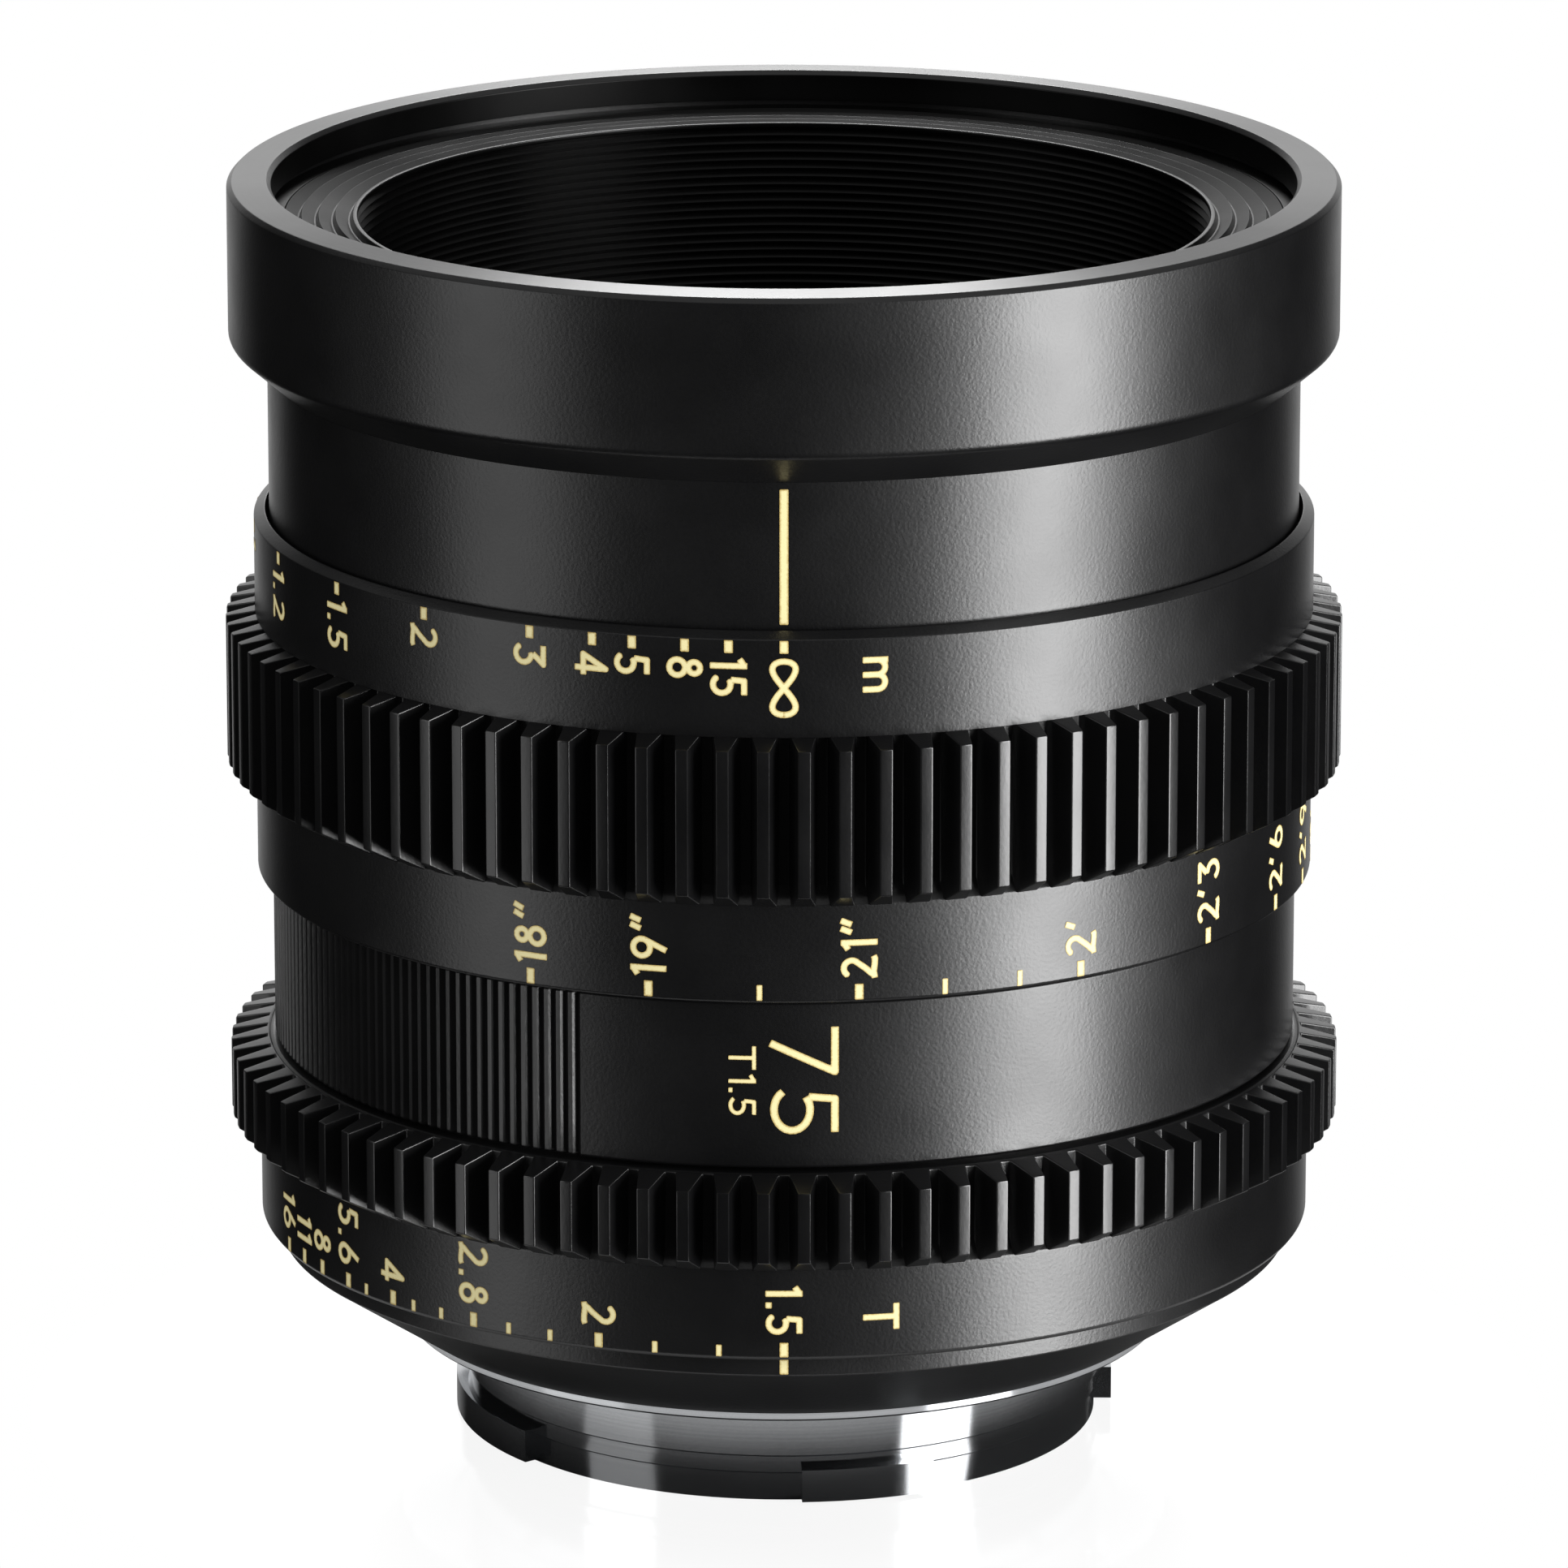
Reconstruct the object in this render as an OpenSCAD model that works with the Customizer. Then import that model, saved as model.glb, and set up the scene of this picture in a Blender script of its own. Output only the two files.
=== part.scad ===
// Cinema prime lens: turned barrels, a helical focus cam, a ten-blade iris and a four-claw bayonet.
// Millimetres. The origin is the centre of the mount flange seat, +Z points to the front
// and the scales face -Y. It is drawn focused at infinity with the iris open.

/* [Stack along the axis] */
// Thickness of the chromed mount flange
flange_t = 0.6; // [0.5:0.05:1]
// Height of the black tail cone
tail_h = 5.1; // [4.8:0.1:6.5]
// Height of the fixed index ring
index_ring_h = 1.2; // [0.8:0.1:2]
// Height of the iris ring
iris_ring_h = 12.15; // [11:0.05:14]
// Height of the fixed middle sleeve
mid_sleeve_h = 10.9; // [10:0.1:13]
// Height of the focus ring
focus_ring_h = 23.95; // [22.5:0.05:27]
// Height of the sliding barrel that shows at infinity
barrel_show_h = 9.4; // [8.5:0.1:12]
// Height of the undercut below the front rim
undercut_h = 2.15; // [1.5:0.05:3]
// Height of the straight front rim
front_rim_h = 10.15; // [9.5:0.05:12]
// Gap between a turning ring and its fixed neighbour
ring_gap = 0.25; // [0.2:0.05:0.35]

/* [Outside radii] */
// Radius of the sliding barrel and the middle sleeve
barrel_r = 33.5; // [32:0.1:36]
// Step from the barrel out to the front rim
rim_step = 2.5; // [2:0.1:4]
// Wall of the focus ring outside the sliding barrel
ring_wall = 0.75; // [0.6:0.05:0.95]
// Step from the barrel in to the index ring
index_step = 0.2; // [0:0.05:0.5]
// Width of the seat land of the mount flange
flange_land = 3.1; // [2.8:0.1:3.8]
// Edge chamfer of the front rim
rim_chamfer = 0.3; // [0.2:0.05:0.5]

/* [Gears] */
// Module of both lens gears
gear_module = 0.8; // [0.78:0.005:0.84]
// Width of the focus gear
focus_gear_h = 11.2; // [9:0.1:13]
// Height of the focus gear above the lower edge of the focus ring
focus_gear_z = 6.4; // [5:0.1:8]
// Width of the iris gear
iris_gear_h = 6.1; // [5:0.1:7]
// Length of the sloped tooth ends
gear_bevel = 0.8; // [0.4:0.1:1.2]
// Width of a tooth at its tip
tooth_land = 0.7; // [0.5:0.05:0.9]
// Pressure angle of the teeth
pressure_angle = 20; // [15:1:22]

/* [Front opening] */
// Wall of the front rim outside the filter thread
rim_wall = 2.88; // [2.6:0.02:3.2]
// Depth of the grooved face below the front face
filter_depth = 2.4; // [2:0.1:3.5]
// Thickness of the grooved face
baffle_t = 1.7; // [1.4:0.1:2.2]
// Number of grooves on the face
groove_count = 4; // [3:1:5]
// Depth of the grooves
groove_depth = 0.4; // [0.2:0.05:0.6]
// Spacing of the ridges in the baffle tube
ridge_pitch = 0.56; // [0.5:0.02:0.8]
// Depth of the ridges
ridge_depth = 0.33; // [0.2:0.01:0.4]
// Wall of the baffle tube behind the ridges
hood_wall = 0.7; // [0.5:0.05:0.9]
// Depth of the baffle tube below the grooved face
hood_depth = 14; // [12:0.1:14.4]

/* [Walls and fits] */
// Wall of the sliding barrel skirt
barrel_wall = 1.1; // [0.9:0.05:1.2]
// Wall of the cam sleeve
cam_wall = 1.2; // [1:0.05:1.3]
// Wall of the guide barrel
guide_wall = 1.1; // [1:0.05:1.2]
// Radial gap between the focus ring bore and the sliding barrel
focus_gap = 0.25; // [0.2:0.05:0.3]
// Radial gap between the cam sleeve and the sliding barrel
skirt_gap = 0.2; // [0.15:0.05:0.3]
// Radial running fit of the turning rings
run_fit = 0.06; // [0.04:0.01:0.1]
// Radial gap of screwed and seated pieces
seat_gap = 0.05; // [0.03:0.01:0.08]
// Radial sliding fit of the lens cell in the guide barrel
cell_gap = 0.1; // [0.08:0.01:0.15]

/* [Focus drive] */
// Axial travel of the sliding front
focus_travel = 14; // [12:0.5:14.5]
// Turn of the focus ring
focus_throw = 208; // [190:1:215]
// Radius of a cam roller
roller_r = 2; // [1.7:0.1:2.1]
// Clearance of a roller in its slots
slot_gap = 0.1; // [0.08:0.01:0.15]
// Thickness of the focus ring floor
focus_floor = 1.5; // [1.3:0.1:1.8]
// Thickness of the cam sleeve foot
cam_foot = 1.8; // [1.5:0.1:2.2]

/* [Middle sleeve] */
// Angle covered by the grip ribs
rib_arc = 134; // [100:2:140]
// Angle from rib to rib
rib_pitch = 1.44; // [1.3:0.02:1.8]
// Depth of the grooves between ribs
rib_depth = 0.3; // [0.2:0.05:0.4]
// Wall of the middle sleeve
mid_wall = 1.35; // [1.2:0.05:1.5]

/* [Iris] */
// Number of iris blades
blade_count = 10; // [9:1:11]
// Turn of the iris ring
iris_throw = 68; // [60:1:70]
// Width of the iris chamber outside the open iris
iris_rim = 10.4; // [10:0.1:11]
// Free radius of the closed iris
iris_closed_r = 3.3; // [3:0.1:5]
// Thickness of a blade
blade_t = 0.04; // [0.03:0.01:0.05]
// Angle covered by a blade
blade_arc = 88; // [80:1:92]
// Distance from the pivot pin to the drive pin of a blade
blade_lever = 7; // [6:0.1:7.5]
// Radius of the blade pins
blade_pin_r = 0.42; // [0.35:0.01:0.45]
// Wall of the iris chamber
chamber_wall = 1; // [0.8:0.1:1.1]
// Half width of the coupling bar as an angle
bar_half = 3; // [2.5:0.1:3.5]

/* [Optics] */
// Distance from the front face to the front glass
glass_depth = 19.4; // [18.8:0.1:20.5]
// Step from the upper to the lower, narrow part of the front cell
cell_step = 2.74; // [2.6:0.02:3.2]
// Wall of the front cell around the second element
e2_wall = 2.5; // [2.2:0.1:3.2]
// Wall of the front cell around the front doublet
e3_wall = 6.5; // [6.2:0.1:7.2]
// Radius of the rear doublet
e4_r = 18.5; // [18:0.1:18.8]
// Room from the bayonet bore in to the last element
e5_room = 2.4; // [2.3:0.1:2.9]

/* [Mount] */
// Radius of the bayonet tube
spigot_r = 21; // [20:0.05:22]
// Wall of the bayonet tube
mount_wall = 2.1; // [1.9:0.05:2.3]
// Depth of the bayonet behind the flange
mount_depth = 6.9; // [6.5:0.1:7.5]
// Reach of the claws beyond the bayonet tube
claw_reach = 0.75; // [0.5:0.05:1]
// Height of the claws
claw_h = 2.15; // [1.8:0.05:2.4]
// Angle of the narrow claws
claw_narrow = 23.4; // [18:0.2:30]
// Angle of the wide claws
claw_wide = 40; // [32:1:44]
// Number of mount screws
mount_screw_count = 6; // [4:1:8]

/* [Hidden] */
$fn = 96;
glass_fn = 240;
eps = 0.02;

// Heights of the stack
z_tail = flange_t;
z_index = z_tail + tail_h;
z_index_top = z_index + index_ring_h;
z_iris = z_index_top + ring_gap;
z_iris_top = z_iris + iris_ring_h;
z_mid = z_iris_top + ring_gap;
z_mid_top = z_mid + mid_sleeve_h;
z_focus = z_mid_top + ring_gap;
z_focus_top = z_focus + focus_ring_h;
z_barrel_top = z_focus_top + barrel_show_h;
z_rim = z_barrel_top + undercut_h;
z_front = z_rim + front_rim_h;
z_baffle_top = z_front - filter_depth;
z_baffle = z_baffle_top - baffle_t;

// Radii of the nested barrels, from the outside in
focus_bore_r = barrel_r + focus_gap;
band_r = focus_bore_r + ring_wall;
index_r = barrel_r - index_step;
front_r = barrel_r + rim_step;
filter_r = front_r - rim_wall;
filter_relief_r = filter_r + 0.5;
filter_relief_h = 0.4;
skirt_r = barrel_r - barrel_wall;
cam_r = skirt_r - skirt_gap;
cam_bore_r = cam_r - cam_wall;
guide_r = cam_bore_r - run_fit;
guide_bore_r = guide_r - guide_wall;
cell_r = guide_bore_r - cell_gap;
cell_low_r = cell_r - cell_step;
e2_r = cell_low_r - e2_wall;
e3_r = cell_low_r - e3_wall;
cell_thread_r = cell_r - 1.04;
hood_r = cell_thread_r - 2 * seat_gap;
hood_root_r = hood_r - hood_wall;
hood_bore_r = hood_root_r - ridge_depth;
baffle_seat_r = filter_r - 0.8;
spigot_out_r = barrel_r - 1.7;
spigot_in_r = spigot_out_r - 0.8;
main_bore_r = guide_r + seat_gap;
mid_bore_r = barrel_r - mid_wall;
iris_bore_r = band_r - 2.2;
tail_spigot_r = main_bore_r - seat_gap;
tail_spigot_wall = 1.9;
tail_spigot_h = 2.7;

// Radii of the mount and of the glass that passes through it
mount_bore_r = spigot_r - mount_wall;
claw_r = spigot_r + claw_reach;
seat_in_r = claw_r + 0.45;
flange_r = seat_in_r + flange_land;
e5_r = mount_bore_r - e5_room;

// Gear sizes
gear_root_r = band_r + 0.1;
gear_teeth = round(2 * (gear_root_r / gear_module + 2.25) - 2);
gear_tip_r = gear_module * (gear_teeth + 2) / 2;
tooth_pitch = 360 / gear_teeth;
tooth_foot = tooth_land + 2 * (gear_tip_r - gear_root_r) * tan(pressure_angle);

// Focus drive heights
z_cam = z_focus + focus_floor;
z_skirt = z_cam + cam_foot + 0.6;
slot_half = roller_r + slot_gap;
roller_bite = 2;
boss_r = roller_r + 1;
boss_end_r = sqrt(cell_r * cell_r - boss_r * boss_r);
z_roller = z_cam + cam_foot + slot_half + 1.2;
z_slot_top = z_roller + focus_travel + slot_half;
z_cam_top = z_slot_top + 1.6;
z_guide_top = z_cam_top + 1.6;
z_web = z_guide_top + 0.6;
web_h = 3;
z_cell_top = z_web + web_h + 1.3;
z_guide = z_iris + 6.85;
roller_angles = [30, 150, 270];
slot_steps = 52;

// Glass: radii of curvature and centre thicknesses
e1_front = 62;
e1_back = 260;
e1_t = 8.5;
e2_front = 42;
e2_back = 95;
e2_t = 7;
e3_front = 60;
e3_back = 26;
e3_crown_t = 6.4;
e3_flint_t = 1.6;
e3_clear_r = e3_r - 3.5;
e4_front = 24;
e4_back = 34;
e4_flint_t = 1.5;
e4_crown_t = 7.5;
e4_clear_r = e4_r - 3;
e5_front = 80;
e5_back = 75;
e5_t = 5.4;
air_gap = 0.7;
cement = 0.02;
e1_r = cell_thread_r - 0.6;
e1_z = z_front - glass_depth;
e2_z = e1_z - e1_t - air_gap;
e3_z = e2_z - e2_t - 1.6;
e3_joint_z = e3_z - e3_crown_t;
e3_foot_z = e3_joint_z - e3_flint_t - sag(e3_back, e3_clear_r);
iris_plate_t = 1.25;
z_iris_plate = e3_foot_z - iris_plate_t;
blade_room = 2.5;
actuator_h = 1.1;
z_actuator = z_iris_plate - blade_room - actuator_h;
z_rear_cell_top = z_actuator - 0.2;
e4_ring_h = 1.3;
e4_z = z_rear_cell_top - e4_ring_h - 0.1;
e4_joint_z = e4_z - sag(e4_front, e4_clear_r) - e4_flint_t;
e4_back_z = e4_joint_z - e4_crown_t;
e5_z = e4_back_z - air_gap;
e5_back_z = e5_z - e5_t;
z_cell_low = z_rear_cell_top - 2.8;
z_cell_step = e2_z - 3.8;
e1_seat_z = e1_z - e1_t - sag(e1_back, e1_r);
e2_seat_z = e2_z - e2_t - sag(e2_back, e2_r);
e1_ring_r = e1_r - 1;
e2_ring_r = e2_r - 1.3;
e3_ring_r = e3_r - 0.7;
e4_seat_r = e4_r - 0.9;
e5_seat_r = e5_r - 0.9;
e5_ring_r = e5_r - 1.3;
e1_ring_z = e1_z - sag(e1_front, e1_ring_r) + eps;
e2_ring_z = e2_z - sag(e2_front, e2_ring_r) + eps;
e3_ring_z = e3_z - sag(e3_front, e3_ring_r) + eps;
e4_seat_z = e4_back_z + sag(e4_back, e4_seat_r) - eps;
e5_seat_z = e5_z - sag(e5_front, e5_seat_r) + eps;
e5_ring_z = e5_back_z + sag(e5_back, e5_ring_r) - eps;
ring_h = 1.8;
thread_step = 0.5;
rear_tube_r = e4_r + 2.1;
rear_tip_r = e5_r + 1.7;
z_rear_tip = e5_back_z - 0.25;

// Iris blades
chamber_r = cell_low_r - chamber_wall;
iris_open_r = chamber_r - iris_rim;
pivot_r = chamber_r - 1;
blade_r = pivot_r - 0.8;
blade_turn = 2 * asin((iris_open_r - iris_closed_r) / (2 * pivot_r));
blade_ratio = blade_turn / iris_throw;
lever_angle = 2 * asin(blade_lever / (2 * pivot_r));
blade_mid = blade_arc / 2 - 4;
blade_tilt = atan(0.06);
z_blade = z_iris_plate - blade_room / 2;
blade_ear = 0.9;
pin_fit = 0.06;
cam_slot_half = blade_pin_r + 0.08;
slot_margin = 4;
bar_angle = 176;
bar_in_r = cell_low_r + 0.5;
bar_out_r = guide_bore_r - 0.5;
z_coupling = z_index + tail_spigot_h + 0.2;
coupling_h = 4.1;
drive_pin_r = 1.2;
z_drive_pin = z_coupling + coupling_h / 2;
window_gap = 0.15;
fork_half = 8;

// Mount
hub_r = seat_in_r + 0.1;
hub_h = 1.8;
z_rear_step = z_tail + hub_h + 0.3;
mount_screw_r = (seat_in_r + flange_r) / 2;
screw_r = 0.75;
screw_head_r = 1.15;
screw_head_h = 0.35;
head_sink = 0.05;
claw_narrow_at = 14.8;
claw_wide_at = -71;
front_angle = -90;
rear_baffle_lip = 2.2;
baffle_in_r = mount_bore_r - rear_baffle_lip;

BLADES = [for (i = [1:blade_count]) str("iris_blade_", i)];

// Depth of a spherical surface of radius big at distance r from the axis
function sag(big, r) = big - sqrt(big * big - r * r);
function polar(r, a) = [r * cos(a), r * sin(a)];
function turn2(p, a) = [p[0] * cos(a) - p[1] * sin(a), p[0] * sin(a) + p[1] * cos(a)];

// A solid of revolution from a closed outline of [radius, height] points
module turned(points) {
    rotate_extrude() polygon(points);
}

module ring(r_out, r_in, z0, z1) {
    turned([[r_in, z0], [r_out, z0], [r_out, z1], [r_in, z1]]);
}

// A part of a ring from angle a0 to a1
module ring_arc(r_out, r_in, z0, z1, a0, a1) {
    rotate([0, 0, a0])
        rotate_extrude(angle = a1 - a0)
            polygon([[r_in, z0], [r_out, z0], [r_out, z1], [r_in, z1]]);
}

module spoke(angle, z, r0, r1, radius) {
    rotate([0, 0, angle])
        translate([r0, 0, z])
            rotate([0, 90, 0])
                cylinder(r = radius, h = r1 - r0);
}

// A sphere whose top is at height z
module ball_below(z, radius) {
    translate([0, 0, z - radius]) sphere(r = radius, $fn = glass_fn);
}

// A sphere whose lowest point is at height z
module ball_above(z, radius) {
    translate([0, 0, z + radius]) sphere(r = radius, $fn = glass_fn);
}

// Gear teeth

function tooth_points(a) = [
    polar(gear_root_r, a - tooth_foot / 2 / gear_root_r * 180 / PI),
    polar(gear_tip_r, a - tooth_land / 2 / gear_tip_r * 180 / PI),
    polar(gear_tip_r, a + tooth_land / 2 / gear_tip_r * 180 / PI),
    polar(gear_root_r, a + tooth_foot / 2 / gear_root_r * 180 / PI)
];

// A toothed rim with sloped tooth ends, with a tooth gap at the scale side
module gear_rim(z0, z1) {
    outline = [for (i = [0:gear_teeth - 1])
        each tooth_points(front_angle + (i + 0.5) * tooth_pitch)];
    bevel_r = gear_root_r + 0.06;
    slope = gear_bevel / (gear_tip_r - bevel_r);
    reach = gear_tip_r + 0.2;
    lift = slope * (reach - bevel_r);
    rim_in = band_r - 0.4;
    intersection() {
        translate([0, 0, z0]) linear_extrude(z1 - z0) polygon(outline);
        turned([
            [rim_in, z0], [bevel_r, z0], [reach, z0 + lift],
            [reach, z1 - lift], [bevel_r, z1], [rim_in, z1]
        ]);
    }
}

// Sliding front

module front_ring() {
    color("#1b1b1d") turned([
        [spigot_out_r + seat_gap, z_barrel_top],
        [barrel_r, z_barrel_top],
        [front_r, z_rim],
        [front_r, z_front - rim_chamfer],
        [front_r - rim_chamfer, z_front],
        [filter_r + rim_chamfer, z_front],
        [filter_r, z_front - rim_chamfer],
        [filter_r, z_baffle_top + filter_relief_h],
        [filter_relief_r, z_baffle_top + filter_relief_h],
        [filter_relief_r, z_baffle_top],
        [baffle_seat_r, z_baffle_top],
        [baffle_seat_r, z_baffle],
        [spigot_out_r + seat_gap, z_baffle]
    ]);
}

// Grooved face with the ridged tube below it
module front_baffle() {
    rim = 0.6;
    face_r = baffle_seat_r - seat_gap;
    pitch = (face_r - hood_bore_r - rim) / groove_count;
    ridges = floor((hood_depth - rim) / ridge_pitch);
    z_hood = z_baffle_top - hood_depth;
    grooves = [for (i = [0:groove_count - 1]) each [
        [face_r - i * pitch, z_baffle_top],
        [face_r - (i + 0.75) * pitch, z_baffle_top - groove_depth],
        [face_r - (i + 0.85) * pitch, z_baffle_top - groove_depth]
    ]];
    walls = [for (i = [0:ridges - 1]) each [
        [hood_bore_r, z_baffle_top - rim - i * ridge_pitch],
        [hood_root_r, z_baffle_top - rim - (i + 0.5) * ridge_pitch]
    ]];
    color("#141415") turned(concat(
        [[hood_r, z_hood], [hood_r, z_baffle], [face_r, z_baffle]],
        grooves,
        [[hood_bore_r + rim, z_baffle_top], [hood_bore_r, z_baffle_top]],
        walls,
        [[hood_root_r, z_hood]]
    ));
}

module front_barrel() {
    web_r = cell_r + seat_gap;
    color("#1b1b1d") turned([
        [skirt_r, z_skirt], [barrel_r, z_skirt], [barrel_r, z_barrel_top],
        [spigot_out_r, z_barrel_top], [spigot_out_r, z_baffle],
        [spigot_in_r, z_baffle], [spigot_in_r, z_web + web_h],
        [web_r, z_web + web_h], [web_r, z_web], [skirt_r, z_web]
    ]);
}

module front_cell() {
    lip_r = cell_r + 1.2;
    color("#2a2a2c") difference() {
        union() {
            turned([
                [chamber_r, z_cell_low], [cell_low_r, z_cell_low],
                [cell_low_r, z_cell_step], [cell_r, z_cell_step],
                [cell_r, z_web + web_h], [lip_r, z_web + web_h],
                [lip_r, z_cell_top], [cell_thread_r, z_cell_top],
                [cell_thread_r, e1_ring_z], [e1_r + seat_gap, e1_ring_z],
                [e1_r + seat_gap, e1_seat_z - eps],
                [e1_r - 1.7, e1_seat_z - eps],
                [e1_r - 1.7, z_cell_step + 0.8],
                [e2_r + thread_step + seat_gap, z_cell_step + 0.8],
                [e2_r + thread_step + seat_gap, e2_ring_z],
                [e2_r + seat_gap, e2_ring_z],
                [e2_r + seat_gap, e2_seat_z - eps],
                [e3_r + thread_step + seat_gap, e2_seat_z - eps],
                [e3_r + thread_step + seat_gap, e3_ring_z],
                [e3_r + seat_gap, e3_ring_z],
                [e3_r + seat_gap, e3_foot_z - eps],
                [e3_clear_r + 0.4, e3_foot_z - eps],
                [e3_clear_r + 0.4, z_iris_plate],
                [chamber_r, z_iris_plate]
            ]);
            for (a = roller_angles)
                spoke(a, z_roller, cell_low_r - 1, boss_end_r, boss_r);
        }
        for (a = roller_angles)
            spoke(a, z_roller, cell_low_r - roller_bite, cell_r + 1, screw_r + eps);
        for (i = [1:blade_count])
            rotate([0, 0, i * 360 / blade_count])
                translate([pivot_r, 0, z_iris_plate - 1])
                    cylinder(r = blade_pin_r + pin_fit, h = 2);
        ring_arc(
            cell_low_r + 1, chamber_r - 0.5,
            z_actuator - 0.1, z_actuator + actuator_h + 0.15,
            bar_angle - fork_half - 2, bar_angle + iris_throw + fork_half + 2
        );
    }
}

module rear_cell() {
    color("#2a2a2c") turned([
        [e5_r + thread_step + seat_gap, z_rear_tip],
        [rear_tip_r, z_rear_tip], [rear_tip_r, z_rear_step],
        [rear_tube_r, z_rear_step + 1.2], [rear_tube_r, z_cell_low - 1.2],
        [cell_low_r, z_cell_low - 1.2], [cell_low_r, z_cell_low],
        [chamber_r - seat_gap, z_cell_low],
        [chamber_r - seat_gap, z_rear_cell_top],
        [e4_r + thread_step + seat_gap, z_rear_cell_top],
        [e4_r + thread_step + seat_gap, e4_z],
        [e4_r + seat_gap, e4_z], [e4_r + seat_gap, e4_seat_z],
        [e4_seat_r, e4_seat_z], [e4_seat_r, e5_seat_z + 1.8],
        [e5_seat_r, e5_seat_z + 1.2], [e5_seat_r, e5_seat_z],
        [e5_r + seat_gap, e5_seat_z], [e5_r + seat_gap, e5_ring_z],
        [e5_r + thread_step + seat_gap, e5_ring_z]
    ]);
}

module element_1_ring() {
    color("#202022") ring(cell_thread_r - seat_gap, e1_ring_r, e1_ring_z, e1_ring_z + ring_h);
}

module element_2_ring() {
    color("#202022") ring(e2_r + thread_step, e2_ring_r, e2_ring_z, e2_ring_z + ring_h);
}

module element_3_ring() {
    color("#202022") ring(e3_r + thread_step, e3_ring_r, e3_ring_z, e2_seat_z - 0.2);
}

module element_4_ring() {
    color("#202022") ring(e4_r + thread_step, e4_clear_r + 0.4, e4_z + eps, e4_z + e4_ring_h);
}

module element_5_ring() {
    color("#202022") ring(e5_r + thread_step, e5_ring_r, z_rear_tip, e5_ring_z);
}

// Glass

module glass_disc(r, z0, z1) {
    translate([0, 0, z0]) cylinder(r = r, h = z1 - z0);
}

module element_1() {
    color("#6f7f86") difference() {
        intersection() {
            glass_disc(e1_r, e1_seat_z, e1_z + 1);
            ball_below(e1_z, e1_front);
        }
        ball_below(e1_z - e1_t, e1_back);
    }
}

module element_2() {
    color("#6f7f86") difference() {
        intersection() {
            glass_disc(e2_r, e2_seat_z, e2_z + 1);
            ball_below(e2_z, e2_front);
        }
        ball_below(e2_z - e2_t, e2_back);
    }
}

module element_3_crown() {
    color("#74858c") intersection() {
        glass_disc(e3_r, e3_joint_z, e3_z + 1);
        ball_below(e3_z, e3_front);
    }
}

module element_3_flint() {
    color("#7b8a86") difference() {
        glass_disc(e3_r, e3_foot_z, e3_joint_z - cement);
        ball_below(e3_joint_z - e3_flint_t, e3_back);
    }
}

module element_4_flint() {
    color("#7b8a86") difference() {
        glass_disc(e4_r, e4_joint_z, e4_z);
        ball_above(e4_joint_z + e4_flint_t, e4_front);
    }
}

module element_4_crown() {
    color("#74858c") intersection() {
        glass_disc(e4_r, e4_back_z - 1, e4_joint_z - cement);
        ball_above(e4_back_z, e4_back);
    }
}

module element_5() {
    color("#6f7f86") intersection() {
        glass_disc(e5_r, e5_back_z - 1, e5_z + 1);
        ball_below(e5_z, e5_front);
        ball_above(e5_back_z, e5_back);
    }
}

// Focus drive

module cam_rollers() {
    color("#b08d4f") for (a = roller_angles)
        difference() {
            spoke(a, z_roller, boss_end_r + eps, cam_r - 0.1, roller_r);
            spoke(a, z_roller, cell_r - 1, cam_r + 1, screw_r + eps);
            spoke(a, z_roller, cam_r - 0.9, cam_r + 1, screw_head_r + 0.1);
        }
}

module roller_screws() {
    color("#8c8f94") for (a = roller_angles) {
        spoke(a, z_roller, cell_low_r - roller_bite + 0.1, cam_r - 0.5, screw_r);
        spoke(a, z_roller, cam_r - 0.9, cam_r - 0.2, screw_head_r);
    }
}

// Corners of one step of a helical slot cutter, at a share of the full turn. The slot runs
// past the roller by its own half width at both ends.
function slot_corners(start, share) = [for (c = [
        [cam_bore_r - 0.6, -slot_half], [cam_r + 0.6, -slot_half],
        [cam_r + 0.6, slot_half], [cam_bore_r - 0.6, slot_half]
    ])
    concat(
        polar(c[0], start - focus_throw * share),
        [z_roller + focus_travel * share + c[1]]
    )];

module helical_slot(start) {
    over = slot_half / cam_bore_r * 180 / PI / focus_throw;
    points = [for (k = [0:slot_steps])
        each slot_corners(start, -over + (1 + 2 * over) * k / slot_steps)];
    sides = [for (k = [0:slot_steps - 1]) for (j = [0:3]) let (
            a = 4 * k + j,
            b = 4 * k + (j + 1) % 4
        ) each [[a, a + 4, b + 4], [a, b + 4, b]]];
    last = 4 * slot_steps;
    ends = [[0, 1, 2], [0, 2, 3], [last + 2, last + 1, last], [last + 3, last + 2, last]];
    polyhedron(points = points, faces = concat(sides, ends));
}

module drive_screw_places() {
    for (i = [0:2])
        rotate([0, 0, i * 120])
            translate([cam_r + 0.3, 0, z_focus])
                children();
}

module cam_sleeve() {
    color("#c9b37a") difference() {
        turned([
            [cam_bore_r, z_cam], [focus_bore_r - 0.2, z_cam],
            [focus_bore_r - 0.2, z_cam + cam_foot], [cam_r, z_cam + cam_foot],
            [cam_r, z_cam_top], [cam_bore_r, z_cam_top]
        ]);
        for (a = roller_angles) helical_slot(a);
        drive_screw_places()
            cylinder(r = screw_r + eps, h = focus_floor + cam_foot + 1);
    }
}

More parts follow.
